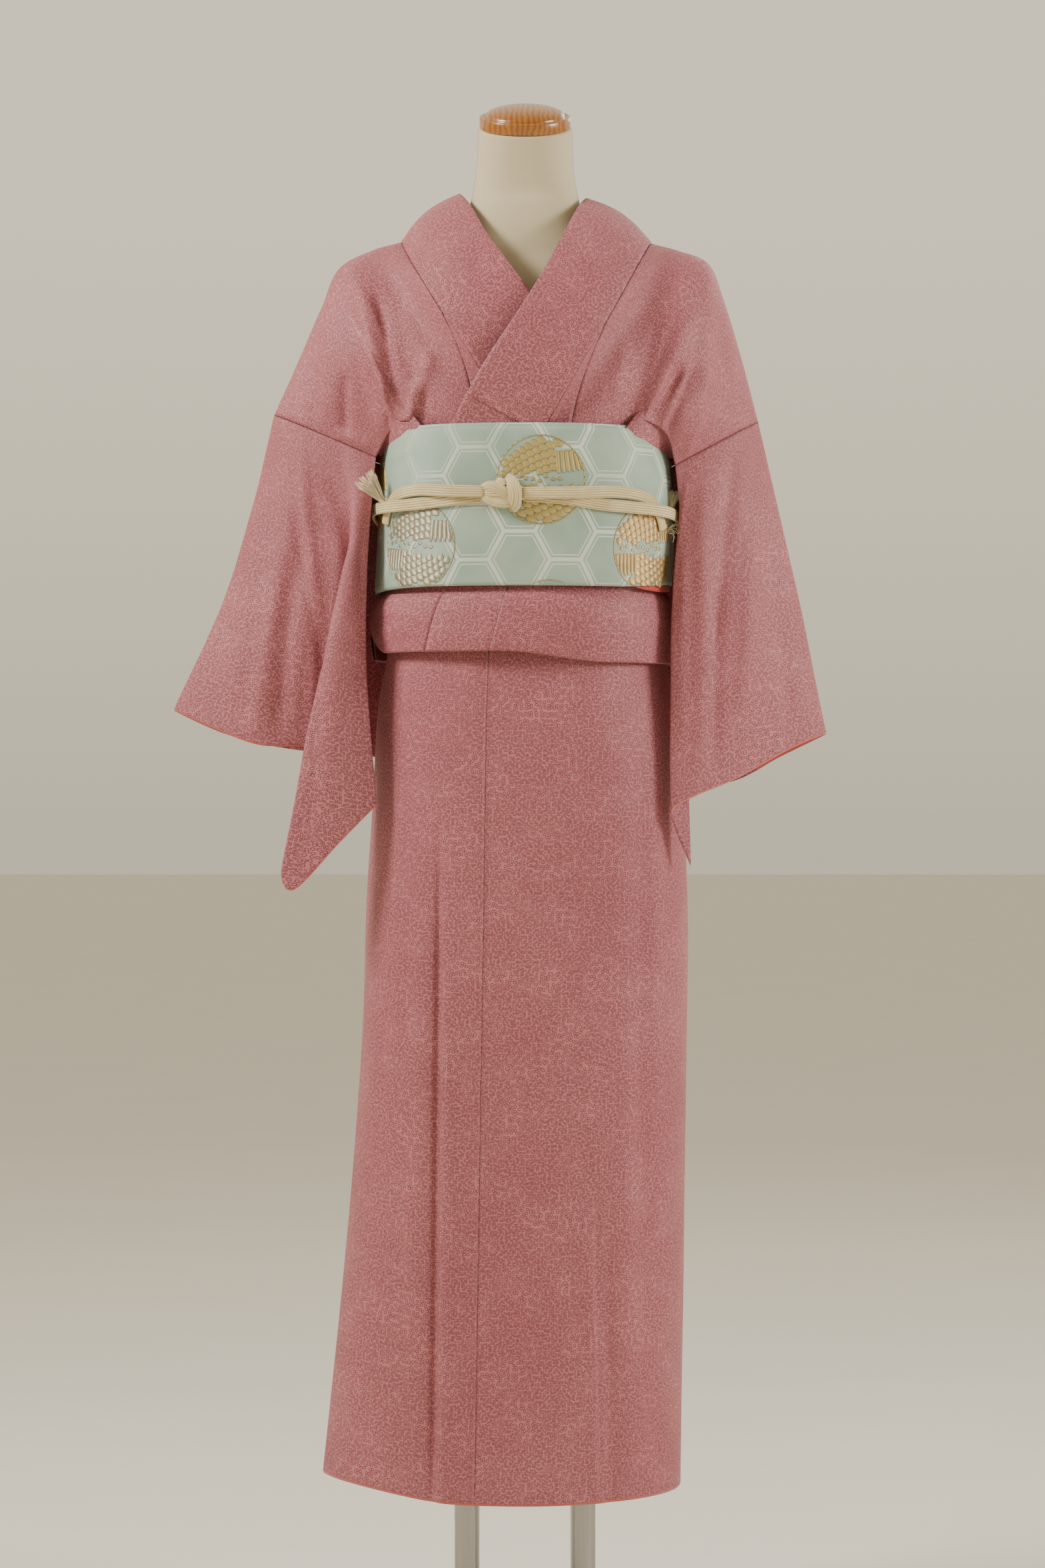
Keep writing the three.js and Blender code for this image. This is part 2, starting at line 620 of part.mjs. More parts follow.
// Collar: pairs of points on its folded inner edge and its sewn outer edge, from the over-end at the sash,
// up the wearer's left, round the neck and down the wearer's right under the over-end.
const UNDER_DEEP = 6; // how far the under collar's face lies inside the sash
const sashed = (x, z, inset) => [x, underSash(x, z, inset), z];
const COLLAR_STATIONS = [
  { place: 'over end in sash', inner: sashed(-84, 1193, 1.5), outer: sashed(-2, 1184, 1.5), crown: 6.2 },
  { place: 'over, at the sash', inner: sashed(-73, 1213, 1), outer: sashed(6, 1194, 1.4), crown: 5 },
  { place: 'end of second band', inner: [-57, -117, 1242.5], outer: sashed(14, 1204, 3), crown: 2 },
  { place: 'over, low chest', inner: [-37, -122, 1277], outer: [32.5, -118.5, 1234], crown: 2.5 },
  { place: 'over, chest', inner: [-7.5, -118, 1322], outer: [56.5, -118, 1276], crown: 3 },
  { place: 'over, high chest', inner: [16, -104.5, 1361], outer: [81, -106.5, 1318], crown: 4 },
  { place: 'over, by the neck', inner: [35.3, -82, 1398.6], outer: [103, -78, 1360], crown: 5 },
  { place: 'left, front of shoulder', inner: [52, -42, 1435], outer: [121, -34, 1396], crown: 6 },
  { place: 'left shoulder', inner: [63, 5, 1451.5], outer: [125.5, 12, 1407.5], crown: 7 },
  { place: 'left, behind shoulder', inner: [63, 52, 1441], outer: [108, 68, 1394], crown: 5 },
  { place: 'left of centre back', inner: [38, 91, 1423], outer: [58, 111, 1371], crown: 3 },
  { place: 'centre back', inner: [0, 104, 1415], outer: [0, 126, 1361], crown: 2 },
  { place: 'right of centre back', inner: [-38, 91, 1423], outer: [-58, 111, 1371], crown: 3 },
  { place: 'right, behind shoulder', inner: [-65, 52, 1443], outer: [-108, 68, 1395], crown: 5 },
  { place: 'right shoulder', inner: [-66.6, 5, 1455.8], outer: [-123, 12, 1410], crown: 7 },
  { place: 'right, front of shoulder', inner: [-54, -38, 1438], outer: [-117.5, -36, 1391], crown: 6 },
  { place: 'right, by the neck', inner: [-37.8, -70, 1406], outer: [-102.5, -76, 1362], crown: 5 },
  { place: 'right, high chest', inner: [-17, -92, 1375], outer: [-83, -98, 1328], crown: 4 },
  { place: 'right, chest', inner: [7, -104, 1341], outer: [-60, -109, 1294], crown: 2 },
  { place: 'right, low chest', inner: [32, -105.5, 1303], outer: [-37, -110, 1256], crown: 1 },
  { place: 'right, above the sash', inner: [50, -104, 1273], outer: [-20, -108.5, 1226], crown: 2 },
  { place: 'right, at the sash', inner: [67, -101, 1240], outer: sashed(-5, 1199, UNDER_DEEP), crown: 3 },
  { place: 'right end in sash', inner: sashed(84, 1208, 8.5), outer: sashed(6, 1188, UNDER_DEEP), crown: 4 },
];
const station = (place) => COLLAR_STATIONS.findIndex((row) => row.place === place) / (COLLAR_STATIONS.length - 1);
const OVER_COLLAR_ENDS = [station('end of second band'), 0.873];

// Where each bodice meets the collar's outer edge: at the sash, on the shoulder and at the centre back.
const COLLAR_EDGE = {
  left: { sash: station('over, at the sash'), shoulder: station('left shoulder'), back: station('centre back') },
  right: { sash: station('right, at the sash'), shoulder: station('right shoulder'), back: station('centre back') },
};
const NECKLINE_SHARE = 0.45; // how much of the back's inner edge is neckline; the rest is the centre seam
const BODICE_ROWS = [
  ...steps(-1, -0.1, 13),
  0,
  ...[0.07, 0.14, 0.21, 0.28, 0.34, 0.4],
  NECKLINE_SHARE,
  ...[0.57, 0.7, 0.85, 1],
];

// The place along the collar that lies beside a row of the bodice.
function besideCollar(side, v) {
  const edge = COLLAR_EDGE[side];
  return v <= 0 ? mix(edge.shoulder, edge.sash, -v) : mix(edge.shoulder, edge.back, v / NECKLINE_SHARE);
}

function collarOut(along, across) {
  const at = (t, s) => mixPoints(collarSide('inner', t), collarSide('outer', t), s);
  const h = 1e-3;
  const onward = minus(at(along + h, across), at(along - h, across));
  return unit(cross(minus(at(along, 1), at(along, 0)), onward));
}

function collarSide(edge, along) {
  return through(COLLAR_STATIONS.map((row) => row[edge]), along);
}

function collarPoint(along, across, lift = 0) {
  const [crown] = through(COLLAR_STATIONS.map((row) => [row.crown]), along);
  const arch = crown * Math.sin(Math.PI * clamp(across, 0, 1));
  const point = mixPoints(collarSide('inner', along), collarSide('outer', along), across);
  return add(point, collarOut(along, across), arch + lift);
}

function buildCollar() {
  const under = (u, v) => collarPoint(u, v, -(OVER_COLLAR + SEAM));
  const across = [0, 0.1, 0.37, 0.67, 1];
  const beside = [...BODICE_ROWS.filter((v) => v <= NECKLINE_SHARE), TIP.top];
  const places = new Set([0, 1, ...OVER_COLLAR_ENDS]);
  for (const side of ['left', 'right']) for (const v of beside) places.add(besideCollar(side, v));
  const along = [...places].sort((a, b) => a - b).filter((t, i, all) => i === 0 || t - all[i - 1] > 1e-4);
  const [from, to] = OVER_COLLAR_ENDS;
  const normalOf = (u, v) => collarOut(u, v).map((value) => -value);
  addNode('collar', wall(under, along, across, COLLAR, [0, -1, -0.5], { normalOf }), 'silk');
  const short = along.filter((t) => t >= from - 1e-6 && t <= to + 1e-6);
  addNode('over_collar', wall(collarPoint, short, across, OVER_COLLAR, [0, -1, -0.5], { normalOf }), 'silk');
}

// Sleeves: lines that run from the armhole seam down to the cuff or the bottom edge. at is the line's place on
// the seam: -1 at the front end, 0 on the outer fold, 1 at the back end.
const SEAM_RIGHT = { front: [-147, -53, 1187], fold: [-251, 0, 1233], back: [-142, 60, 1188], round: 26 };
const SEAM_LEFT = { front: [148, -58, 1179], fold: [233.5, 0, 1226], back: [146, 60, 1186], round: 26 };
const SLEEVE_RIGHT = [
  { line: 'front body edge', at: -1, upper: [-154.5, -66, 1083], lower: [-155, -74, 972], bottom: [-145, -76, 846] },
  { line: 'flap middle', at: -0.945, upper: [-166, -73, 1081], lower: [-181, -88, 955], bottom: [-182, -86, 808] },
  { line: 'flap corner', at: -0.89, upper: [-174, -73, 1080], lower: [-201, -86, 945], bottom: [-226, -81, 763] },
  { line: 'flap edge', at: -0.85, upper: [-177.5, -68, 1079], lower: [-206.5, -80, 941], bottom: [-237.5, -77, 787] },
  { line: 'behind the flap', at: -0.78, upper: [-173, -59, 1086], lower: [-194, -66, 958], bottom: [-204, -60, 850] },
  { line: 'hidden fold', at: -0.71, upper: [-166, -50, 1090], lower: [-172, -48, 985], bottom: [-177, -42, 893] },
  { line: 'under the flap', at: -0.6, upper: [-185, -50, 1097], lower: [-200, -49, 995], bottom: [-218, -46, 903] },
  { line: 'front trough', at: -0.42, upper: [-211, -45, 1110], lower: [-234, -51, 1008], bottom: [-262, -46, 905] },
  { line: 'front ridge', at: -0.2, upper: [-243, -34, 1124], lower: [-270, -38, 1020], bottom: [-305, -30, 920] },
  { line: 'outer fold', at: 0, upper: [-274, 0, 1135], lower: [-306, 0, 1038], bottom: [-351, 0, 940] },
  { line: 'back ridge', at: 0.25, upper: [-242, 35, 1122], lower: [-268, 40, 1014], bottom: [-302, 34, 917] },
  { line: 'back middle', at: 0.6, upper: [-198, 52, 1102], lower: [-213, 58, 1000], bottom: [-238, 54, 902] },
  { line: 'back body edge', at: 1, upper: [-139, 72, 1077], lower: [-139, 78, 978], bottom: [-140, 77, 893] },
];
const SLEEVE_LEFT = [
  { line: 'turned edge', at: -1, upper: [158, -51, 1066], lower: [158, -59, 950], bottom: [162, -63, 786] },
  { line: 'turn', at: -0.93, upper: [147.5, -59, 1066], lower: [145.5, -68, 952], bottom: [146, -72, 824] },
  { line: 'front body edge', at: -0.86, upper: [146.5, -67, 1067], lower: [144, -77, 955], bottom: [144, -80, 841] },
  { line: 'front inner', at: -0.66, upper: [166, -66, 1085], lower: [167, -76, 968], bottom: [168, -73, 855] },
  { line: 'front ridge', at: -0.4, upper: [192, -56, 1100], lower: [201, -66, 985], bottom: [207, -54, 871] },
  { line: 'front outer', at: -0.17, upper: [224, -36, 1117], lower: [240, -42, 1010], bottom: [263, -28, 901] },
  { line: 'outer fold', at: 0, upper: [256, 0, 1130], lower: [278, 0, 1030], bottom: [301.5, 0, 916.5] },
  { line: 'back outer', at: 0.25, upper: [224, 36, 1115], lower: [238, 44, 1004], bottom: [258, 34, 894] },
  { line: 'back middle', at: 0.6, upper: [193, 54, 1098], lower: [200, 62, 984], bottom: [210, 54, 869] },
  { line: 'back body edge', at: 1, upper: [139, 72, 1077], lower: [139, 78, 972], bottom: [141, 77, 861] },
];

// The armhole seam, from its front end round the outer fold to its back end.
function seamPoint(seam, w) {
  const end = w < 0 ? seam.front : seam.back;
  const turn = [seam.fold[0], Math.sign(end[1]) * seam.round, seam.fold[2] + 1];
  const near = mixPoints(end, seam.fold, 0.4);
  const t = Math.abs(w);
  const inwards = mixPoints(near, [near[0], end[1], near[2]], 0.6);
  return bezier(seam.fold, turn, inwards, end, t);
}

function sleevePoint(lines, seam, s, t) {
  const rows = lines.map((row) => through([seamPoint(seam, row.at), row.upper, row.lower, row.bottom], t));
  const starts = lines.map((row) => seamPoint(seam, row.at));
  const share = s / (lines.length - 1);
  const i = clamp(Math.floor(s), 0, lines.length - 2);
  const exact = seamPoint(seam, clamp(mix(lines[i].at, lines[i + 1].at, s - i), -1, 1));
  const shift = minus(exact, through(starts, share));
  return add(through(rows, share), shift, Math.max(1 - t, 0) ** 3);
}

function placeOnLines(lines, w) {
  let i = lines.findIndex((row) => row.at > w) - 1;
  if (i < 0) i = w < 0 ? 0 : lines.length - 2;
  return i + (w - lines[i].at) / (lines[i + 1].at - lines[i].at);
}

const SLEEVES = {
  right: { lines: SLEEVE_RIGHT, seam: SEAM_RIGHT, sign: -1 },
  left: { lines: SLEEVE_LEFT, seam: SEAM_LEFT, sign: 1 },
};

function seamNormal(side, w) {
  const { lines, seam, sign } = SLEEVES[side];
  const at = (s, t) => sleevePoint(lines, seam, s, t);
  const s = clamp(placeOnLines(lines, w), 0.02, lines.length - 1.02);
  const normal = normalAt(at, s, 0.01);
  return normal.map((value) => value * sign);
}

function buildSleeve(side) {
  const { lines, seam } = SLEEVES[side];
  const at = (s, t) => sleevePoint(lines, seam, s, t);
  const across = [];
  for (let i = 0; i < lines.length - 1; i += 1) {
    const fine = /fold|edge|turn/.test(lines[i].line) || /fold|edge|turn/.test(lines[i + 1].line) ? 3 : 2;
    for (let k = 0; k < fine; k += 1) across.push(i + k / fine);
  }
  across.push(lines.length - 1);
  const start = SEAM / length(minus(lines[2].upper, seam.front)) / 3;
  const down = [start, 0.1, 0.22, 0.35, 0.5, 0.65, 0.8, 0.9, 1];
  const fold = lines.findIndex((row) => row.at === 0);
  const inward = [seam.fold[0] < 0 ? 1 : -1, 0, 0];
  const normalOf = (s, t) => {
    if (t > start) return undefined;
    const i = clamp(Math.floor(s), 0, lines.length - 2);
    return seamNormal(side, mix(lines[i].at, lines[i + 1].at, s - i));
  };
  const geometry = wall(at, across, down, CLOTH, inward, { probe: [fold, 0.5], normalOf });
  addNode(`sleeve_${side}`, geometry, 'silk');
}

// Bodice: stations from the collar to the armhole seam. Each is a curve from the shoulder ridge down the front
// and the back to the sash. reach is how far it runs level before it falls, and rise how far it stands upright.
const BODICE = {
  left: [
    { ridge: [154, 4, 1399], front: sashed(57, 1197, 4), back: [50, 108, 1214], reach: 50, rise: 88, swell: 6 },
    { ridge: [184, 2, 1385.5], front: sashed(98, 1213, 3.4), back: [94, 96, 1216], reach: 56, rise: 84, swell: 9 },
    { ridge: [199, 0, 1350], front: [117, -85, 1219.5], back: [118, 84, 1222], reach: 52, rise: 62, swell: 9 },
    { ridge: [216, 0, 1293], front: [138.5, -71, 1207], back: [132, 72, 1208], reach: 40, rise: 36, swell: 9 },
  ],
  right: [
    { ridge: [-154, 4, 1399], front: sashed(-57, 1197, 9), back: [-50, 108, 1214], reach: 50, rise: 88, swell: 3 },
    { ridge: [-187, 2, 1380], front: sashed(-98, 1213, 7), back: [-94, 96, 1216], reach: 56, rise: 84, swell: 6 },
    { ridge: [-204, 0, 1341], front: [-119, -81, 1219.5], back: [-118, 84, 1222], reach: 52, rise: 62, swell: 9 },
    { ridge: [-225, 0, 1292], front: [-134, -62, 1209], back: [-130, 72, 1206], reach: 40, rise: 36, swell: 9 },
  ],
};
const BODICE_CREASES = {
  left: [
    { from: [160, 1330], to: [122, 1214], height: 3.5, wide: 9 },
    { from: [152, 1275], to: [124, 1212], height: -6, wide: 7 },
    { from: [184, 1270], to: [150, 1205], height: 4, wide: 9 },
  ],
  right: [
    { from: [-186, 1372], to: [-150, 1225], height: -5, wide: 11 },
    { from: [-166, 1350], to: [-132, 1214], height: 4, wide: 8 },
    { from: [-92, 1285], to: [-115, 1212], height: 2.6, wide: 7 },
    { from: [-142, 1340], to: [-124, 1214], height: -3, wide: 7 },
  ],
};
const CENTRE_BACK = { back: 110.5, low: 1217 };

// The bodice's inner edge: along the collar in front, along the neckline and down the centre seam behind.
function bodiceEdge(side, v) {
  const sign = side === 'left' ? 1 : -1;
  const beside = (along) => {
    const point = collarPoint(along, 1, -(OVER_COLLAR + SEAM));
    const away = unit(minus(collarSide('outer', along), collarSide('inner', along)));
    return add(point, away, SEAM + 0.05);
  };
  if (v < NECKLINE_SHARE - 1e-9) return beside(besideCollar(side, v));
  const top = beside(COLLAR_EDGE[side].back);
  const t = (v - NECKLINE_SHARE) / (1 - NECKLINE_SHARE);
  const bulge = 5 * Math.sin(Math.PI * t) * (1 - t);
  return [(sign * SEAM) / 2, mix(top[1], CENTRE_BACK.back, t) + bulge, mix(top[2], CENTRE_BACK.low, t)];
}

function bodiceStation({ ridge, front, back, reach, rise, swell }, v) {
  const end = v < 0 ? front : back;
  const out = Math.sign(end[1]);
  const level = [mix(ridge[0], end[0], 0.08), ridge[1] + out * reach, ridge[2] - 2];
  const upright = [mix(end[0], ridge[0], 0.36), end[1] + out * swell, end[2] + rise];
  return bezier(ridge, level, upright, end, Math.abs(v));
}

function bodicePoint(side, u, v) {
  const stations = [
    bodiceEdge(side, v),
    ...BODICE[side].map((row) => bodiceStation(row, v)),
    seamPoint(SLEEVES[side].seam, v),
  ];
  const point = through(stations, u);
  if (v >= 0) return point;
  const fade = smooth(0, 0.12, u) * smooth(0, 0.1, 1 - u);
  const out = creases(BODICE_CREASES[side], point[0], point[2]) * fade;
  return [point[0], point[1] - out, point[2]];
}

// The direction into the cloth along the bodice's inner edge, square to the collar or to the centre seam.
function bodiceEdgeNormal(side, v) {
  if (v <= NECKLINE_SHARE) return collarOut(besideCollar(side, v), 1).map((value) => -value);
  const [, y, z] = minus(bodiceEdge(side, v + 1e-3), bodiceEdge(side, v));
  return unit([0, z, -y]);
}

// The overlap panel's narrow top shows beside the collar, from its tip down to the sash.
const TIP = { start: BODICE_ROWS[8], top: BODICE_ROWS[8] - 0.012, share: 0.14, narrow: 0.02 };

function tipShare(v) {
  return TIP.share * clamp((TIP.start - v) / (1 + TIP.start), 0, 1);
}

function buildBodice(side) {
  const gap = 0.0018;
  const tipRows = [...BODICE_ROWS.filter((v) => v < TIP.start - 1e-6), TIP.top];
  const endU = 1 - 0.001;
  const at = (u, v) => {
    const share = tipShare(v);
    return bodicePoint(side, mix(share > 0 ? share + gap : 0, endU, u), v);
  };
  const inward = [side === 'left' ? -0.3 : 0.3, 0, -1];
  const normalOf = (u, v) => {
    if (u === 1) return seamNormal(side, v);
    return u === 0 && tipShare(v) < TIP.narrow ? bodiceEdgeNormal(side, v) : undefined;
  };
  const us = [0, 0.1, 0.2, 0.3, 0.38, 0.46, 0.56, 0.68, 0.84, 1];
  addNode(`bodice_${side}`, wall(at, us, BODICE_ROWS, CLOTH, inward, { probe: [0.4, 0], normalOf }), 'silk');
  const tip = (u, v) => bodicePoint(side, u * tipShare(v), v);
  const tipNormal = (u, v) => (u === 0 || tipShare(v) < TIP.narrow ? bodiceEdgeNormal(side, v) : undefined);
  const options = { normalOf: tipNormal };
  addNode(`overlap_tip_${side}`, wall(tip, [0, 0.5, 1], tipRows, CLOTH, [0, 1, 0], options), 'silk');
}

// Cord over the sash. A place on it is an angle round the sash, a height, and the layer that it lies in:
// 0 on the sash, 1 over another strand.
const CORD = { wide: 11.6, thick: 4.2 };
const CORD_MAIN = [
  { angle: -1, z: 1142.6, layer: 0 },
  { angle: 8, z: 1142, layer: 0 },
  { angle: 20, z: 1139.6, layer: 0 },
  { angle: 32, z: 1135.3, layer: 0.05 },
  { angle: 43, z: 1133.5, layer: 0.5 },
  { angle: 53, z: 1132.3, layer: 1.1 },
  { angle: 63, z: 1131, layer: 1.1 },
  { angle: 73, z: 1129, layer: 0.7 },
  { angle: 90, z: 1125, layer: 0.05 },
  { angle: 125, z: 1122, layer: 0 },
  { angle: 180, z: 1123, layer: 0 },
  { angle: 235, z: 1125, layer: 0 },
  { angle: 262, z: 1130, layer: 0.05 },
  { angle: 277, z: 1133.5, layer: 0.6 },
  { angle: 288, z: 1135.3, layer: 1.1 },
  { angle: 299, z: 1136, layer: 1.1 },
  { angle: 308, z: 1136.4, layer: 0.4 },
  { angle: 318, z: 1137.6, layer: 0 },
  { angle: 329, z: 1140, layer: 0 },
  { angle: 342.8, z: 1143, layer: 0 },
];
const CORD_END_LEFT = [
  { angle: -1, z: 1145, layer: 1.05 },
  { angle: 10, z: 1145.5, layer: 1.05 },
  { angle: 20.5, z: 1145.8, layer: 1.05 },
  { angle: 30, z: 1147, layer: 0.6 },
  { angle: 38, z: 1147.8, layer: 0.05 },
  { angle: 46.5, z: 1146.5, layer: 0 },
  { angle: 53, z: 1143, layer: 0 },
  { angle: 58, z: 1135, layer: 0 },
  { angle: 61, z: 1124, layer: 0 },
  { angle: 62.5, z: 1114, layer: 0 },
];
const CORD_END_RIGHT = [
  { angle: -17.2, z: 1146.6, layer: 1.05 },
  { angle: -29.6, z: 1147.8, layer: 1.05 },
  { angle: -38, z: 1149.4, layer: 0.95 },
  { angle: -44.5, z: 1150.6, layer: 0.25 },
  { angle: -50.5, z: 1150, layer: 0 },
  { angle: -56, z: 1147.6, layer: 0 },
  { angle: -60.5, z: 1142, layer: 0 },
  { angle: -64, z: 1132, layer: 0 },
  { angle: -65.5, z: 1120, layer: 0 },
];

// The cord's section: a flat band with rounded edges.
const CORD_OUTLINE = [
  [-0.5, 0],
  [-0.4, 0.42],
  [0.4, 0.42],
  [0.5, 0],
  [0.4, -0.42],
  [-0.4, -0.42],
].map(([across, deep]) => [across * CORD.wide, deep * CORD.thick]);

function onSash(angle, z, out) {
  return ringPoint(sizesAt(SASH, z), angle, -out);
}

function cordPoint(places, t) {
  const [angle, z, layer] = through(places.map((row) => [row.angle, row.z, row.layer]), t);
  return onSash(angle, z, LAYER + 0.25 + CORD.thick * 0.42 + layer * (CORD.thick + LAYER));
}

// Every stretch between two rows of the table is cut into pieces of about five degrees.
function cordGeometry(places) {
  const last = places.length - 1;
  const stops = [0];
  for (let i = 0; i < last; i += 1) {
    const pieces = Math.max(2, Math.round(Math.abs(places[i + 1].angle - places[i].angle) / 5));
    for (let k = 1; k <= pieces; k += 1) stops.push((i + k / pieces) / last);
  }
  const frames = stops.map((t) => {
    const point = cordPoint(places, t);
    const along = unit(minus(cordPoint(places, t + 1e-3), cordPoint(places, t - 1e-3)));
    const out = unit([point[0], point[1] * 1.35, 0]);
    const up = unit(cross(along, out));
    return { point, up, out: unit(cross(up, along)) };
  });
  const place = (i, [across, deep]) => {
    const { point, up, out } = frames[i];
    return add(add(point, up, across), out, deep);
  };
  return sweep(frames.length, CORD_OUTLINE, place);
}

// Knot: a lump over the ends of the four strands. Each row is a section across it.
const KNOT = { angle: -9.1, z: 1144.6 };
const KNOT_ROWS = [
  { along: -16.6, low: -9, high: 8, deep: 9.4 },
  { along: -15, low: -10.5, high: 9.4, deep: 10.4 },
  { along: -9, low: -13, high: 12.2, deep: 12 },
  { along: -2, low: -14.3, high: 14, deep: 13 },
  { along: 3, low: -14, high: 14, deep: 14.2 },
  { along: 8, low: -12.6, high: 13, deep: 14 },
  { along: 13, low: -10, high: 10.2, deep: 12.2 },
  { along: 16.6, low: -8.4, high: 7.4, deep: 9.6 },
];

function buildKnot() {
  const outline = [];
  for (let i = 0; i <= 6; i += 1) outline.push([-Math.cos(radians(30 * i)), Math.sin(radians(30 * i)) ** 0.8]);
  const perDegree = 2.17;
  const place = (i, [across, deep]) => {
    const row = KNOT_ROWS[i];
    const z = KNOT.z + mix(row.low, row.high, (across + 1) / 2);
    return onSash(KNOT.angle + row.along / perDegree, z, LAYER + 0.2 + row.deep * deep);
  };
  addNode('cord_knot', sweep(KNOT_ROWS.length, outline, place), 'cord');
}

// Tassels: a bound head and a ribbed, splayed skirt of threads.
const TASSELS = {
  right: { root: [-139.9, -68.4, 1142.4], tip: [-156.5, -71, 1163.5], wide: [2.6, 7.2], thick: [2.2, 3.2] },
  left: { root: [145.3, -45, 1140.4], tip: [146.6, -46, 1155], wide: [2.4, 4.6], thick: [1.8, 2.4] },
};

function buildTassel(side) {
  const { root, tip, wide, thick } = TASSELS[side];
  const along = unit(minus(tip, root));
  const across = unit(cross(along, [0, 1, 0]));
  const deep = cross(across, along);
  const ribs = 7;
  const outline = Array.from({ length: ribs * 2 }, (_, i) => {
    const a = (Math.PI * i) / ribs;
    const r = i % 2 ? 0.84 : 1;
    return [Math.cos(a) * r, Math.sin(a) * r];
  });
  const reach = length(minus(tip, root));
  const rows = steps(0, 1, 5);
  const place = (i, [x, y]) => {
    const t = rows[i];
    const spread = smooth(0.1, 0.9, t);
    const point = add(root, along, reach * t);
    return add(add(point, across, x * mix(...wide, spread)), deep, y * mix(...thick, spread));
  };
  addNode(`tassel_${side}`, sweep(rows.length, outline, place), 'cord');
}

function buildCord() {
  addNode('cord_main', cordGeometry(CORD_MAIN), 'cord');
  addNode('cord_end_left', cordGeometry(CORD_END_LEFT), 'cord');
  addNode('cord_end_right', cordGeometry(CORD_END_RIGHT), 'cord');
  buildKnot();
  buildTassel('left');
  buildTassel('right');
}

buildForm();
buildCap();
buildStand();
buildSkirt();
buildTuck();
buildSash();
buildDrum();
buildCollar();
buildSleeve('right');
buildSleeve('left');
buildBodice('right');
buildBodice('left');
buildCord();

export default part;
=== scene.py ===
"""A lined silk kimono with its sash and cord on a dress form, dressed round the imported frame.

Sizes are in millimetres until a mesh is made. The tables repeat the frame's own named sizes.
"""

import math
import random

import bpy
import numpy as np
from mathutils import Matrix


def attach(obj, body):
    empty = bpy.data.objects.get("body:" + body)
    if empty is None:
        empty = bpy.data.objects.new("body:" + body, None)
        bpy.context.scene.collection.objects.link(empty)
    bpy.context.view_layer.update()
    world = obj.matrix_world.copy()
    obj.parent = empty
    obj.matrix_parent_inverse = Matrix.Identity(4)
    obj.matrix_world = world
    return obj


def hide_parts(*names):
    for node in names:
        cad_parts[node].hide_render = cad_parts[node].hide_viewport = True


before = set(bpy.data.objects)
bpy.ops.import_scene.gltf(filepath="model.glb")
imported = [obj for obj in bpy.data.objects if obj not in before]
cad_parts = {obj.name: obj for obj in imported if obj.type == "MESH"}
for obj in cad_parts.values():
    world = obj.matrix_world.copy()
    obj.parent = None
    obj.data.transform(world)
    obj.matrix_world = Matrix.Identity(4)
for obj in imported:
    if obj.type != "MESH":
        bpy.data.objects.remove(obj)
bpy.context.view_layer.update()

CLOTH = 1.6
OBI = 2.2
COLLAR = 2.0
OVER_COLLAR = 1.0
SEAM = 0.3
LAYER = 0.4
HEM = 167.5
HEM_LIFT = 14
SKIRT_TOP = 1092
TUCK_TOP = 1078
OBI_LOW = 1057
OBI_HIGH = 1211
WRAP_GAP = 0.7
OBI_PEEK = 3.5
CAP_TILT = 20.8


# Numbers and curves. Every function takes whole arrays of places at once.


def smooth(low, high, x):
    t = np.clip((np.asarray(x, float) - low) / (high - low), 0, 1)
    return t * t * (3 - 2 * t)


def mix(a, b, t):
    return a + (b - a) * t


def unit(a):
    return a / np.maximum(np.linalg.norm(a, axis=-1, keepdims=True), 1e-9)


def through(points, t):
    """The smooth curve through the points: t is 0 at the first and 1 at the last."""
    points = np.asarray(points, float)
    t = np.asarray(t, float)
    if points.ndim == 2:
        points = np.repeat(points[:, None, :], len(t), axis=1)
    last = len(points) - 1
    i = np.clip(np.floor(t * last).astype(int), 0, last - 1)
    f = (t * last - i)[:, None]
    n = np.arange(len(t))
    b, c = points[i, n], points[i + 1, n]
    a = np.where((i > 0)[:, None], points[np.maximum(i - 1, 0), n], 2 * b - c)
    d = np.where((i < last - 1)[:, None], points[np.minimum(i + 2, last), n], 2 * c - b)
    cubic = 3 * (b - c) + d - a
    square = 2 * a - 5 * b + 4 * c - d
    return b + 0.5 * f * (c - a + f * (square + f * cubic))


def bezier(a, b, c, d, t):
    t = np.asarray(t, float)[:, None]
    s = 1 - t
    return s**3 * a + 3 * s * s * t * b + 3 * s * t * t * c + t**3 * d


def table(columns, rows):
    """A table by height: its columns as arrays, from the top row down."""
    values = np.array(rows, float)
    return {name: values[:, k] for k, name in enumerate(columns.split())}


def sizes_at(rows, z):
    heights = rows["z"]
    z = np.asarray(z, float)
    last = len(heights) - 1
    i = np.clip(np.searchsorted(-heights, -z, side="left") - 1, 0, last - 1)
    span = heights[i] - heights[i + 1]
    f = np.clip((z - heights[i + 1]) / span, 0, 1)
    k = np.arange(last + 1)
    above, below = np.maximum(k - 1, 0), np.minimum(k + 1, last)
    sizes = {"z": z}
    for name, y in rows.items():
        if name == "z":
            continue
        slope = (y[above] - y[below]) / (heights[above] - heights[below])
        m0, m1 = slope[i + 1] * span, slope[i] * span
        sizes[name] = (
            y[i + 1] * (2 * f**3 - 3 * f**2 + 1) + m0 * (f**3 - 2 * f**2 + f)
            + y[i] * (3 * f**2 - 2 * f**3) + m1 * (f**3 - f**2)
        )
    return sizes


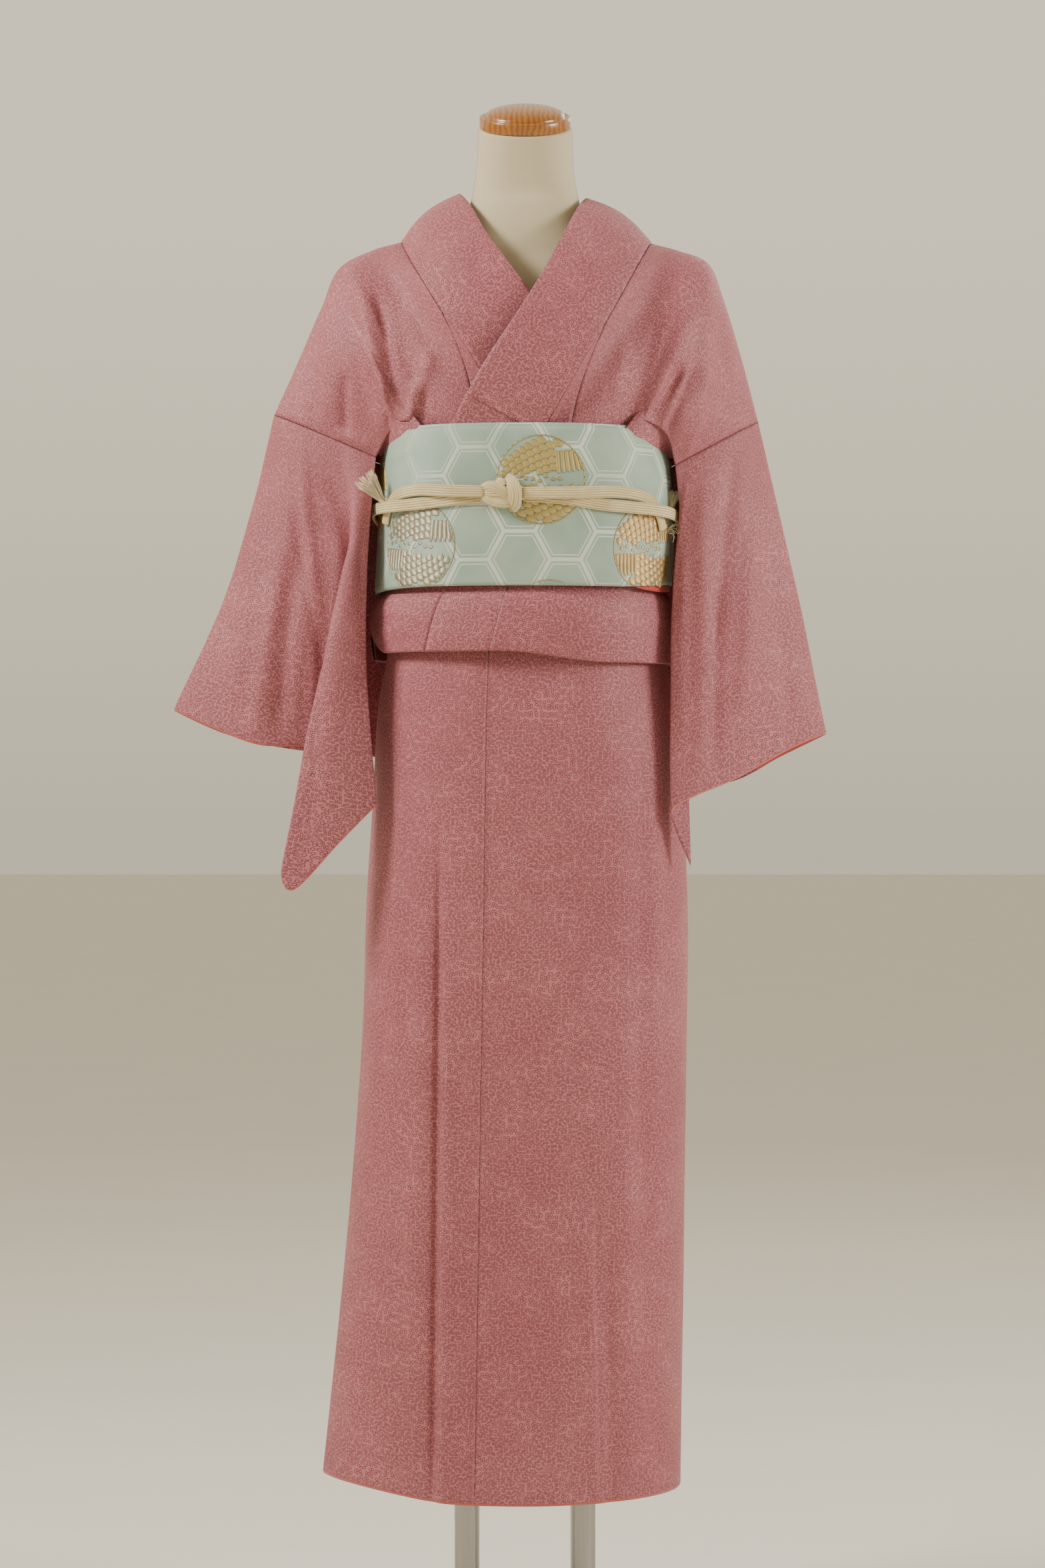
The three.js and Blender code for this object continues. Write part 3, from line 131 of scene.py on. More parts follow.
def ring_point(sizes, degrees, inset=0.0):
    """A point of a rounded section: the angle is 0 at the front and grows towards +X."""
    a = np.radians(degrees)
    s, c = np.sin(a), np.cos(a)
    half = np.where(s < 0, -sizes["left"], sizes["right"]) - inset
    depth = np.where(c > 0, -sizes["front"], sizes["back"]) - inset
    n = sizes["square"]
    r = 1 / ((np.abs(s) / half) ** n + (np.abs(c) / depth) ** n) ** (1 / n)
    return np.stack([r * s, -r * c, np.broadcast_to(sizes["z"], r.shape)], axis=-1)


def creases(rows, x, z):
    """Soft folds, each a line from (x, z) to (x, z) that stands out by its height over its width."""
    out = np.zeros(np.shape(x))
    for x0, z0, x1, z1, height, wide in rows:
        dx, dz = x1 - x0, z1 - z0
        span = math.hypot(dx, dz)
        t = ((x - x0) * dx + (z - z0) * dz) / span**2
        away = ((x - x0) * dz - (z - z0) * dx) / span
        ends = smooth(-0.12, 0.18, t) * (1 - smooth(0.82, 1.12, t))
        out = out + height * ends * np.exp(-((away / wide) ** 2))
    return out


def normal_at(at, u, v):
    h = 1e-3
    return unit(np.cross(at(u + h, v) - at(u - h, v), at(u, v + h) - at(u, v - h)))


def ripple(points, size, amount, seed=0.0):
    """Small unevenness of hanging cloth, the same on every run."""
    p = points / size
    a = np.sin(p[:, 0] * 1.3 + 1.7 * np.sin(p[:, 2] * 0.6 + seed) + seed)
    b = np.sin(p[:, 2] * 0.9 + 1.9 * np.sin(p[:, 1] * 0.8 + p[:, 0] * 0.5) + 2.1 * seed)
    c = np.sin((p[:, 0] + p[:, 2]) * 2.3 + 1.1 * np.sin(p[:, 1] * 1.7 + seed))
    return amount * (0.45 * a + 0.35 * b + 0.2 * c)


# Meshes


def make_mesh(name, points, faces, materials, index=None, uv=None, stands_for=()):
    """A piece of the object from points in millimetres. It rides on the frame's one body."""
    mesh = bpy.data.meshes.new(name)
    mesh.from_pydata((np.asarray(points, float) / 1000).tolist(), [], [list(f) for f in faces])
    for material in materials:
        mesh.materials.append(material)
    if index is not None:
        mesh.polygons.foreach_set("material_index", np.asarray(index, np.int32))
    if uv is not None:
        layer = mesh.uv_layers.new(name="flat")
        corners = np.zeros(len(mesh.loops), np.int32)
        mesh.loops.foreach_get("vertex_index", corners)
        layer.data.foreach_set("uv", (np.asarray(uv, float) / 1000)[corners].astype(np.float32).ravel())
    mesh.polygons.foreach_set("use_smooth", np.ones(len(mesh.polygons), bool))
    mesh.update()
    piece = bpy.data.objects.new(name, mesh)
    bpy.context.scene.collection.objects.link(piece)
    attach(piece, "root")
    if stands_for:
        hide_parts(*stands_for)
    return piece


def shell(name, at, us, vs, thickness, inward, materials, probe=None, normal_of=None, relief=None,
          fringe=0.0,
          uv_from=None, stands_for=(), inner_material=1, offset=(0, 0), hung=False,
          faced=None):
    """A cloth wall from its outer face at(u, v), with its lining inside.

    fringe is how far the lining rolls out below. hung measures the print down each line by itself.
    faced(u, v) is where silk faces the inside.
    """
    us, vs = np.asarray(us, float), np.asarray(vs, float)
    rows, columns = len(us), len(vs)
    u, v = (g.ravel() for g in np.meshgrid(us, vs, indexing="ij"))
    outer = at(u, v)
    pu, pv = probe or (us[rows // 2], vs[columns // 2])
    sign = np.sign(normal_at(at, np.array([pu]), np.array([pv]))[0] @ np.asarray(inward, float))
    normal = normal_at(at, u, v) * sign
    if normal_of is not None:
        normal = normal_of(u, v, normal)
    if relief is not None:
        outer = outer - normal * relief(outer, u, v)[:, None]
    inner = outer + normal * thickness
    if fringe:
        down = unit(at(u, v + 1e-3) - at(u, v - 1e-3))
        inner = inner + np.where((v == vs[-1])[:, None], down * fringe - normal * thickness * 0.4, 0)
    if uv_from is None:
        grid = outer.reshape(rows, columns, 3)
        wide = np.linalg.norm(np.diff(grid, axis=0), axis=2).mean(1)
        tall = np.linalg.norm(np.diff(grid, axis=1), axis=2)
        flat = np.zeros((rows, columns, 2))
        flat[1:, :, 0] = np.cumsum(wide)[:, None]
        flat[:, 1:, 1] = np.cumsum(tall if hung else tall.mean(0)[None], axis=1)
        flat = (flat + offset).reshape(-1, 2)
    else:
        flat = uv_from(u, v, outer)
    number = np.arange(rows * columns).reshape(rows, columns)
    i, j = np.mgrid[: rows - 1, : columns - 1].reshape(2, -1)
    front = number[i, j][:, None] + [0, columns, columns + 1, 1]
    edge = np.concatenate([number[:-1, 0], number[-1, :-1], number[:0:-1, -1], number[0, :0:-1]])
    after = np.roll(edge, -1)
    sides = np.stack([edge, after, after + number.size, edge + number.size], -1)
    if sign > 0:
        front = front[:, ::-1]
    else:
        sides = sides[:, ::-1]
    inside = np.full(len(front), inner_material)
    if faced is not None:
        inside[faced(us[i], vs[j])] = 0
    low = (edge % columns == columns - 1) & (after % columns == columns - 1)
    index = np.concatenate([np.zeros(len(front), int), inside, np.where(low, inner_material, 0)])
    faces = np.vstack([front, front[:, ::-1] + number.size, sides]).tolist()
    return make_mesh(name, np.vstack([outer, inner]), faces, materials, index, np.vstack([flat, flat]),
                     stands_for)


def tube_faces(count, around, closed=False, first=0):
    """The faces of a tube through count rings of points, closed on itself or with flat ends."""
    i, j = np.mgrid[: count if closed else count - 1, :around].reshape(2, -1)
    n, k = (i + 1) % count * around, (j + 1) % around
    i = i * around
    faces = (np.stack([i + j, i + k, n + k, n + j], -1) + first).tolist()
    if not closed:
        last = first + (count - 1) * around
        faces += [list(range(first, first + around))[::-1], list(range(last, last + around))]
    return faces


def sweep(name, rings, materials, closed=False, stands_for=(), uv=None):
    """A tube through rings, an array of outlines."""
    rings = np.asarray(rings, float)
    faces = tube_faces(*rings.shape[:2], closed)
    return make_mesh(name, rings.reshape(-1, 3), faces, materials, None, uv, stands_for)


def lathe(name, profile, centre, materials, around=64, tilt=0.0, stands_for=()):
    """A turned piece from (radius, height) pairs, leaned forward by tilt degrees."""
    turn = 2 * np.pi * np.arange(around) / around
    radius, height = np.array(profile, float).T[:, :, None]
    x, y = radius * np.cos(turn), radius * np.sin(turn)
    c, s = math.cos(math.radians(tilt)), math.sin(math.radians(tilt))
    rings = np.stack([x, y * c - height * s, y * s + height * c], -1) + centre
    return sweep(name, rings, materials, stands_for=stands_for)


# Materials


class Value:
    """What a node gives. Between these and numbers, the signs + - * make math nodes."""

    def __init__(self, nodes, socket):
        self.nodes, self.socket = nodes, socket

    def __add__(self, other):
        return self.nodes.math("ADD", self, other)

    def __sub__(self, other):
        return self.nodes.math("SUBTRACT", self, other)

    def __rsub__(self, other):
        return self.nodes.math("SUBTRACT", other, self)

    def __mul__(self, other):
        return self.nodes.math("MULTIPLY", self, other)


class Nodes:
    """A node tree. Numbers go straight on the sockets, and only what varies is linked."""

    def __init__(self, tree):
        self.tree = tree

    def set(self, node, socket, value):
        if isinstance(value, Value):
            self.tree.links.new(value.socket, node.inputs[socket])
        else:
            node.inputs[socket].default_value = value

    def add(self, kind, inputs, output=0, **settings):
        made = self.tree.nodes.new("ShaderNode" + kind)
        for name, value in settings.items():
            setattr(made, name, value)
        for socket, value in inputs.items():
            self.set(made, socket, value)
        return Value(self, made.outputs[output])

    def math(self, operation, *values):
        return self.add("Math", dict(enumerate(values)), operation=operation)

    def span(self, value, low, high, start, end, curve="LINEAR"):
        ends = {"Value": value, "From Min": low, "From Max": high, "To Min": start, "To Max": end}
        return self.add("MapRange", ends, interpolation_type=curve)

    def step(self, value, low, high):
        """0 below low, 1 above high, smooth between; turned round if high is the lower."""
        start, end = (1.0, 0.0) if low > high else (0.0, 1.0)
        return self.span(value, min(low, high), max(low, high), start, end, "SMOOTHSTEP")

    def blend(self, factor, a, b):
        return self.add("Mix", {0: factor, 6: a, 7: b}, 2, data_type="RGBA")

    def part(self, vector, axis):
        return self.add("SeparateXYZ", {0: vector}, "XYZ".index(axis))

    def noise(self, at, scale, detail, output=0, distortion=0.0):
        inputs = {"Vector": at, "Scale": scale, "Detail": detail, "Distortion": distortion}
        return self.add("TexNoise", inputs, output)

    def wave(self, at, axis, scale, distortion, detail):
        inputs = {"Vector": at, "Scale": scale, "Distortion": distortion, "Detail": detail}
        return self.add("TexWave", inputs, bands_direction=axis)

    def flat(self):
        """The cloth's own flat coordinates, in metres."""
        return self.add("UVMap", {}, uv_map="flat")

    def place(self):
        return self.add("TexCoord", {}, 3)

    def bump(self, height, distance, strength=1.0, onto=None):
        inputs = {"Height": height, "Distance": distance, "Strength": strength}
        return self.add("Bump", inputs if onto is None else {**inputs, "Normal": onto})


class Surface(Nodes):
    """A material."""

    def __init__(self, name, roughness=0.7, metallic=0.0, sheen=0.0, coat=0.0, specular=0.5):
        self.material = bpy.data.materials.new(name)
        self.material.use_nodes = True
        super().__init__(self.material.node_tree)
        self.shader = next(n for n in self.tree.nodes if n.type == "BSDF_PRINCIPLED")
        for socket, value in (("Roughness", roughness), ("Metallic", metallic), ("Sheen Weight", sheen),
                              ("Sheen Roughness", 0.5), ("Coat Weight", coat), ("Coat Roughness", 0.12),
                              ("Specular IOR Level", specular)):
            self.set(self.shader, socket, value)

    def finish(self, tint, normal=None, roughness=None):
        for socket, value in (("Base Color", tint), ("Normal", normal), ("Roughness", roughness)):
            if value is not None:
                self.set(self.shader, socket, value)
        return self.material


def colour(red, green, blue):
    """A colour given as 0 to 255 on screen, as the shader's linear values."""
    linear = [(c / 255 / 12.92) if c <= 10 else ((c / 255 + 0.055) / 1.055) ** 2.4
              for c in (red, green, blue)]
    return (*linear, 1.0)


def printed_silk():
    """Rose crepe with small dark rings, and wavy patches where the rings are larger."""
    s = Surface("printed_silk", 0.6, sheen=0.08, specular=0.35)
    s.set(s.shader, "Sheen Tint", colour(240, 205, 200))
    flat = s.flat()
    shift = 0.0012
    uneven = {0: s.noise(flat, 190.0, 1.0, 1), 1: (shift, shift, shift), 2: flat}
    moved = s.add("VectorMath", uneven, operation="MULTIPLY_ADD")

    def rings(scale, randomness, outer, inner):
        inputs = {"Vector": moved, "Scale": scale, "Randomness": randomness}
        away = s.add("TexVoronoi", inputs, voronoi_dimensions="2D")
        return s.step(away, *outer) * s.step(away, *inner)

    where = s.step(s.noise(flat, 26.0, 1.5), 0.50, 0.58)
    small = rings(420.0, 0.7, (0.48, 0.38), (0.12, 0.24))
    large = rings(270.0, 0.75, (0.47, 0.39), (0.20, 0.29))
    ground = s.blend(s.step(s.noise(flat, 9.0, 3.0), 0.3, 0.7), colour(182, 110, 116),
                     colour(191, 120, 125))
    tint = s.blend((small * (1.0 - where) + large * where) * 0.85, ground, colour(112, 46, 60))
    crepe = s.bump(s.noise(flat, 1500.0, 2.0), 0.0003, 0.5)
    return s.finish(tint, s.bump(s.noise(flat, 90.0, 2.0), 0.0012, 0.25, crepe))


def lining_silk():
    s = Surface("lining_silk", 0.5, sheen=0.3)
    weave = s.noise(s.flat(), 900.0, 2.0)
    return s.finish(s.blend(weave, colour(196, 74, 64), colour(214, 96, 82)), s.bump(weave, 0.0002, 0.4))


def brocade():
    """Pale green satin with a lattice of six-sided frames, each a broad line between two thin ones."""
    s = Surface("brocade", sheen=0.15)
    flat = s.flat()
    across, up = s.part(flat, "X"), s.part(flat, "Y")
    tall, narrow = 0.0545, 47.2 / 44.8
    side = tall / math.sqrt(3)
    x, y = (across + 0.0055) * narrow, up - 1.13625

    def cell(dx, dy):
        """How far from the middle of the nearest frame, as half its height is to its edge."""
        px = s.math("ABSOLUTE", s.math("WRAP", x + dx, -1.5 * side, 1.5 * side))
        py = s.math("ABSOLUTE", s.math("WRAP", y + dy, -tall / 2, tall / 2))
        return s.math("MAXIMUM", py, py * 0.5 + px * (math.sqrt(3) / 2))

    edge = tall / 2 - s.math("MINIMUM", cell(0.0, 0.0), cell(1.5 * side, tall / 2))
    broad = s.step(edge, 0.0021, 0.0015)
    thin = s.step(s.math("ABSOLUTE", edge - 0.0045), 0.0008, 0.0004)
    worn = s.step(s.noise(flat, 14.0, 2.0), 0.35, 0.6) * 0.38
    faded = s.step(across * -1.0 + (up - 1.16), 0.045, 0.13) * 0.5
    line = s.math("MAXIMUM", broad, thin) * (worn + 0.62 - faded)
    thread = s.wave(flat, "Y", 520.0, 0.6, 1.0)
    ground = s.blend(s.step(s.noise(flat, 20.0, 3.0), 0.35, 0.65), colour(150, 176, 158),
                     colour(166, 188, 170))
    ground = s.blend(thread * 0.16, ground, colour(196, 208, 198))
    tint = s.blend(line, ground, colour(222, 228, 216))
    return s.finish(tint, s.bump(thread * 0.35 + line, 0.00035, 0.7), 0.46 - line * 0.1)


def metal_thread(name, light, dark):
    s = Surface(name, 0.36, metallic=0.55, specular=0.6)
    place = s.place()
    thread = s.wave(place, "Z", 450.0, 1.5, 1.0)
    tint = s.blend(thread * 0.4 + s.noise(place, 120.0, 3.0) * 0.6, light, dark)
    return s.finish(tint, s.bump(thread, 0.0002, 0.6))


def braid():
    """Cream silk cord: each ridge is a row of slanted stitches, with painted shade in the hollows between
    the stitches and in the groove between two ridges.
    """
    s = Surface("braided_cord", 0.6, sheen=0.2)
    flat = s.flat()
    away = s.math("ABSOLUTE", s.math("FRACT", s.part(flat, "X") * 430.0) - 0.5)
    groove = s.step(away, 0.14, 0.02)
    stitch = (s.math("SINE", s.part(flat, "Y") * 3400.0 + away * 9.0) + 1.0) * 0.5
    cloud = s.step(s.noise(s.place(), 60.0, 2.0), 0.3, 0.7)
    tint = s.blend(cloud, colour(224, 202, 148), colour(238, 221, 172))
    # painted shade: darker where the stitches dip, the low side of the bump
    tint = s.blend((1.0 - stitch) * 0.25, tint, colour(196, 168, 112))
    # painted shade: the groove between two ridges, sunk in the bump, is coloured darker
    tint = s.blend(groove * 0.75, tint, colour(150, 122, 72))
    return s.finish(tint, s.bump(stitch * 0.4 - groove, 0.0005, 0.7))


def plain_cloth(name, light, dark, scale=1100.0, roughness=0.85):
    s = Surface(name, roughness, sheen=0.2)
    place = s.place()
    weave = s.noise(place, scale, 2.0)
    tint = s.blend(weave * 0.3 + s.noise(place, 12.0, 3.0) * 0.6, light, dark)
    return s.finish(tint, s.bump(weave, 0.0004, 0.5))


def varnished_wood():
    s = Surface("varnished_wood", 0.32, coat=0.6)
    place = s.place()
    rings = s.wave(place, "X", 60.0, 6.0, 3.0)
    grain = s.noise(place, 30.0, 6.0, distortion=1.2)
    tint = s.blend((grain + rings) * 0.5, colour(186, 120, 42), colour(120, 64, 14))
    return s.finish(tint, s.bump(rings, 0.0002, 0.15))


def brushed_steel():
    s = Surface("brushed_steel", metallic=1.0)
    streak = s.add("Mapping", {"Vector": s.place(), "Scale": (900.0, 900.0, 14.0)})
    fine = s.noise(streak, 1.0, 3.0)
    tint = s.blend(fine, colour(150, 147, 141), colour(186, 183, 176))
    return s.finish(tint, s.bump(fine, 0.0001, 0.25), fine * 0.16 + 0.26)


SILK = printed_silk()
LINING = lining_silk()
SASH_CLOTH = brocade()
SASH_BACK = plain_cloth("sash_reverse", colour(196, 62, 50), colour(170, 48, 40), 900.0, 0.6)
GOLD = metal_thread("gold_thread", colour(226, 208, 140), colour(178, 152, 84))
SILVER = metal_thread("silver_thread", colour(206, 200, 178), colour(148, 138, 108))
COPPER = metal_thread("copper_thread", colour(230, 202, 142), colour(190, 146, 88))
THREAD_EDGE = metal_thread("thread_edge", colour(150, 150, 122), colour(118, 112, 86))
BRAID = braid()
TASSEL_SILK = plain_cloth("tassel_silk", colour(238, 226, 196), colour(206, 184, 140), 700.0, 0.6)
JERSEY = plain_cloth("form_jersey", colour(214, 201, 168), colour(200, 184, 148))
STITCH = plain_cloth("form_seam", colour(176, 160, 124), colour(160, 142, 108))
WOOD = varnished_wood()
STEEL = brushed_steel()
KIMONO = [SILK, LINING]
SASH_PAIR = [SASH_CLOTH, SASH_CLOTH]


# Dress form and stand

FORM = [  # height, half width, front, back, middle, lean in degrees
    (1517.5, 46.5, -45, 45, -15, CAP_TILT),
    (1500, 47, -45, 45, -10, 17),
    (1478, 48.5, -46, 47, -4, 12),
    (1456, 52, -47, 50, 0, 6),
    (1438, 57, -49, 54, 0, 0),
    (1420, 68, -51, 58, 0, 0),
    (1402, 92, -53, 62, 0, 0),
    (1386, 122, -56, 65, 0, 0),
    (1370, 146, -62, 70, 0, 0),
    (1348, 154, -70, 76, 0, 0),
    (1320, 154, -80, 83, 0, 0),
    (1280, 147, -90, 88, 0, 0),
    (1235, 133, -97, 91, 0, 0),
    (1195, 128, -99, 92, 0, 0),
    (1130, 127, -99.6, 92, 0, 0),
    (1075, 129, -101.6, 94.2, 0, 0),
    (960, 136, -104, 100, 0, 0),
    (840, 141, -103, 105, 0, 0),
    (720, 140, -97, 104, 0, 0),
    (665, 134, -90, 98, 0, 0),
    (652, 122, -80, 88, 0, 0),
]
FORM_SQUARE = 2.15
POLE_RADIUS = 12.5
POLE_SPACING = 116
PLATE_THICK = 10
FLANGE = (24, 12)  # radius, height


def form_ring(row, around):
    z, half, front, back, middle, lean = row
    sizes = {"z": 0.0, "left": -half, "right": half, "front": front, "back": back, "square": FORM_SQUARE}
    x, y, _ = ring_point(sizes, np.linspace(0, 360, around, endpoint=False)).T
    tilt = math.radians(lean)
    return np.stack([x, middle + y * math.cos(tilt), z + y * math.sin(tilt)], -1)


def build_form():
    around, steps = 96, 140
    rings = np.array([form_ring(row, around) for row in FORM])
    body = through(rings.reshape(len(FORM), -1), np.linspace(0, 1, steps)).reshape(steps, around, 3)
    sweep("form_body", body[::-1], [JERSEY], stands_for=["form_torso"])
    # the cover's seams: one up the middle of the back and one at each side of the neck
    for name, angle in (("form_seam_back", 180), ("form_seam_left", 90), ("form_seam_right", 270)):
        line = through(rings[:, round(angle / 360 * around)], np.linspace(0, 0.3, 60))
        off = unit(line * np.array([1, 1, 0])) * 0.25
        side = unit(np.cross(off, np.array([0.0, 0, 1.0]))) * 0.7
        outlines = np.stack([line - side, line - side + off, line + side + off, line + side], 1)
        sweep(name, outlines, [STITCH])


def build_cap():
    rim = [(0.5, 0), (43.9, 0), (44.9, 0.4), (45.4, 1.5), (45.4, 10.5), (45.0, 11.6), (43.9, 12),
           (42.2, 12),
           (41.4, 11.6), (41, 11), (40.4, 11.2), (40, 12)]
    dome = [(40 * math.cos(math.radians(a)), 12 + 11 * math.sin(math.radians(a))) for a in range(5, 90, 5)]
    height, _, _, _, middle, _ = FORM[0]
    centre = (0, middle - SEAM * math.sin(math.radians(CAP_TILT)), height + SEAM)
    lathe("neck_cap_turned", rim + dome + [(0.5, 23)], centre, [WOOD], 96, CAP_TILT, ["neck_cap"])


def build_stand():
    low, high = PLATE_THICK + SEAM, FORM[-1][0] - SEAM
    radius, tall = FLANGE
    bore = POLE_RADIUS + SEAM
    for side, x in (("left", POLE_SPACING / 2), ("right", -POLE_SPACING / 2)):
        pole = [(POLE_RADIUS - 0.4, low), (POLE_RADIUS, low + 0.4)]
        pole += [(POLE_RADIUS, z) for z in np.linspace(low + 2, high - 2, 12)]
        pole += [(POLE_RADIUS, high - 0.4), (POLE_RADIUS - 0.4, high)]
        lathe(f"pole_{side}_tube", pole, (x, 0, 0), [STEEL], 48, 0, [f"pole_{side}"])
        ring = [(bore, low), (radius, low), (radius, low + tall - 3.4), (radius - 0.9, low + tall - 1.6),
                (radius - 2.4, low + tall - 0.4), (radius - 4, low + tall), (bore, low + tall), (bore, low)]
        lathe(f"pole_flange_{side}_ring", ring, (x, 0, 0), [STEEL], 64, 0, [f"pole_flange_{side}"])
    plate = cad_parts["base_plate"]
    plate.data.materials.clear()
    plate.data.materials.append(STEEL)


# Skirt

SKIRT = table("z left under right front back square", [
    (1092, -133.7, -134.6, 133.7, -106.4, 98.8, 2.2),
    (1060, -135, -136, 135, -107.5, 100, 2.2),
    (990, -142, -142, 141.2, -111, 105, 2.2),
    (930, -148, -148, 150, -114, 111, 2.2),
    (850, -152, -152, 158, -114, 116, 2.2),
    (748, -158.5, -155, 162.5, -113, 119, 2.2),
    (629, -162, -157, 162, -113, 119, 2.2),
    (487, -172, -163, 160, -113, 118, 2.1),
    (350, -185, -171, 158, -113, 116, 1.98),
    (160, -206, -186, 155.5, -113, 112, 1.85),
])
UNDER_GAP = (3.4, 7)
SKIRT_CREASES = [
    (-84, 760, -91, 150, -2.6, 5),
    (-76, 700, -80, 150, 1.8, 7),
    (64, 470, 70, 150, 2.2, 9),
    (78, 430, 84, 150, -2.2, 8),
    (30, 420, 66, 290, -1.6, 7),
]
SKIRT_FINE = [  # softer folds of the front, on top of the frame's own
    (-83.5, 800, -90, 160, -2.6, 2.6),
    (-72, 640, -76, 170, 1.6, 7),
    (-100, 780, -112, 170, 1.2, 9),
    (-20, 900, -38, 560, 0.8, 9),
    (70, 470, 74, 150, -1.8, 3.0),
    (44, 640, 78, 300, -1.3, 7),
    (98, 620, 104, 160, 1.5, 10),
    (20, 900, 34, 520, 0.8, 16),
    (-10, 620, -4, 230, 0.7, 18),
    (112, 940, 118, 300, -1.7, 12),
    (128, 960, 126, 520, 1.3, 9),
    (-122, 900, -128, 480, 0.8, 9),
    (-60, 985, -20, 930, 0.7, 9),
    (90, 985, 60, 935, 0.6, 9),
]
SKIRT_BACK = [  # and of the back, where the cloth hangs from the seat
    (-70, 930, -78, 180, -1.6, 12),
    (-40, 900, -52, 220, 1.2, 14),
    (52, 930, 60, 200, -1.4, 11),
    (84, 900, 92, 170, 1.5, 13),
    (8, 880, 4, 300, -1.1, 15),
    (-110, 960, -116, 300, 1.2, 10),
    (118, 980, 112, 420, -1.2, 9),
]


def hem_height(angle):
    turned = np.where(angle > 180, angle - 360, angle)
    lifted = HEM_LIFT * smooth(30, 86, -turned) * (1 - smooth(100, 160, -turned))
    return HEM + lifted + 5 * smooth(180, 262, angle)


def skirt_point(angle, v):
    z = mix(SKIRT_TOP, hem_height(angle), v)
    sizes = sizes_at(SKIRT, z)
    over = 1 - smooth(98, 262, angle)
    sizes["left"] = np.where(angle < 98, sizes["left"], sizes["under"])
    point = ring_point(sizes, angle, mix(*UNDER_GAP, v) * (1 - over))
    out = np.where(angle > 90, 0, creases(SKIRT_CREASES, point[:, 0], point[:, 2]))
    away = unit(np.stack([point[:, 0] / 2, point[:, 1], np.zeros(len(out))], -1))
    return point + away * out[:, None]


def fold_relief(front, back, noise=0.35, size=46.0, seed=0.0, calm=None):
    """How far a cloth stands out from the frame's surface: its folds, front and back, and its unevenness."""

    def relief(points, u, v):
        x, y, z = points.T
        out = np.where(y < 0, creases(front, x, z), creases(back, x, z))
        out = out + ripple(points, size, noise, seed)
        still = smooth(0, 0.05, np.minimum(u - u.min(), u.max() - u) / (u.max() - u.min()))
        out = out * still * smooth(0, 0.03,
                                   np.minimum(v - v.min(), v.max() - v) / (v.max() - v.min()) + 0.004)
        return out if calm is None else out * calm(points, u, v)

    return relief


PANEL_GAP = 0.16  # degrees between two panels
SKIRT_PANELS = [  # name, edges in degrees or by name, columns, flat size
    ("skirt_overlap_left", "free", "overlap", 112, (0.15, 0.93)),
    ("skirt_front_left", "overlap", 98, 170, (0.32, 0.93)),
    ("skirt_back_left", 98, 180, 50, (0.24, 0.93)),
    ("skirt_back_right", 180, 262, 50, (0.24, 0.93)),
    ("skirt_front_right", 262, 388, 56, (0.36, 0.93)),
    ("skirt_overlap_right", 388, 432 + PANEL_GAP, 24, (0.11, 0.93)),
]
SKIRT_PER_DEGREE = 2.4  # millimetres round the skirt
SEAM_WIDE, SEAM_DEEP = 2.6, 1.3


def seam_angle(edge, v):
    """An edge of a skirt panel in degrees. The front's free edge and the overlap's seam slant."""
    if edge == "free":
        return mix(-57, -86, smooth(0, 0.2, v))
    if edge == "overlap":
        return mix(-17, -24, v)
    return np.full(np.shape(v), float(edge))


def build_skirt():
    down = np.concatenate([np.linspace(0, 0.98, 98), [0.987, 0.993, 1.0]])
    for k, (name, start, end, columns, flat) in enumerate(SKIRT_PANELS):

        def at(u, v, start=start, end=end):
            return skirt_point(mix(seam_angle(start, v), seam_angle(end, v) - PANEL_GAP, u), v)

        def relief(outer, u, v, start=start, end=end, k=k):
            """The folds, and the cloth drawn in along its seams. The first panel starts at its free edge."""
            wide = (seam_angle(end, v) - PANEL_GAP - seam_angle(start, v)) * SKIRT_PER_DEGREE
            drawn = smooth(SEAM_WIDE, 0, (1 - u) * wide) + (k > 0) * smooth(SEAM_WIDE, 0, u * wide)
            folds = fold_relief(SKIRT_FINE, SKIRT_BACK, 0.4, 60.0, 0.7 * k)
            return folds(outer, u, v) + SEAM_DEEP * drawn

        middle = at(np.array([0.5]), np.array([0.5]))[0]
        piece = shell(
            name + "_cloth", at, np.linspace(0, 1, columns), down, CLOTH, [-middle[0], -middle[1], 0],
            KIMONO,
            relief=relief if k < 4 else None, fringe=2.2, stands_for=[name], offset=(137 * k, 61 * k),
        )


# Waist tuck

TUCK = table("z left right front back square", [
    (1078, -141, 141, -113, 105.6, 2.2),
    (1061, -142.4, 141.2, -114, 105.9, 2.2),
    (1055, -143.4, 141.6, -114.8, 106, 2.2),
    (1044, -152.5, 146.5, -121.5, 112, 2.2),
    (1015, -155.5, 148.5, -124.5, 114.5, 2.2),
    (985, -152, 148, -124, 113.5, 2.2),
    (970, -150, 147, -123, 112.5, 2.2),
])
TUCK_THICK = 4.4
TUCK_WALL = 1.4
TUCK_SLANT = 10
TUCK_TALL = 84
TUCK_MIDDLE = 1010.0
TUCK_SEAMS = (-39, -11)  # the two seams that slant
TUCK_PANELS = [  # name, edges in degrees, columns, flat size
    ("tuck_collar_end", -82, -39, 30, (0.10, 0.16)),
    ("tuck_overlap_left", -39, -11, 20, (0.06, 0.16)),
    ("tuck_front_left", -11, 98, 70, (0.27, 0.17)),
    ("tuck_back_left", 98, 180, 44, (0.23, 0.17)),
    ("tuck_back_right", 180, 270 + PANEL_GAP, 46, (0.24, 0.16)),
]
TUCK_FINE = [
    (-150, 1042, -96, 1022, 0.9, 5),
    (-148, 1012, -110, 1018, 0.8, 5),
    (-120, 1050, -104, 1010, -0.7, 5),
    (30, 1040, 96, 1028, 0.7, 8),
    (132, 1048, 108, 1002, -0.9, 6),
    (146, 1020, 112, 1036, 0.8, 5),
    (-20, 1046, 20, 1012, 0.5, 9),
]


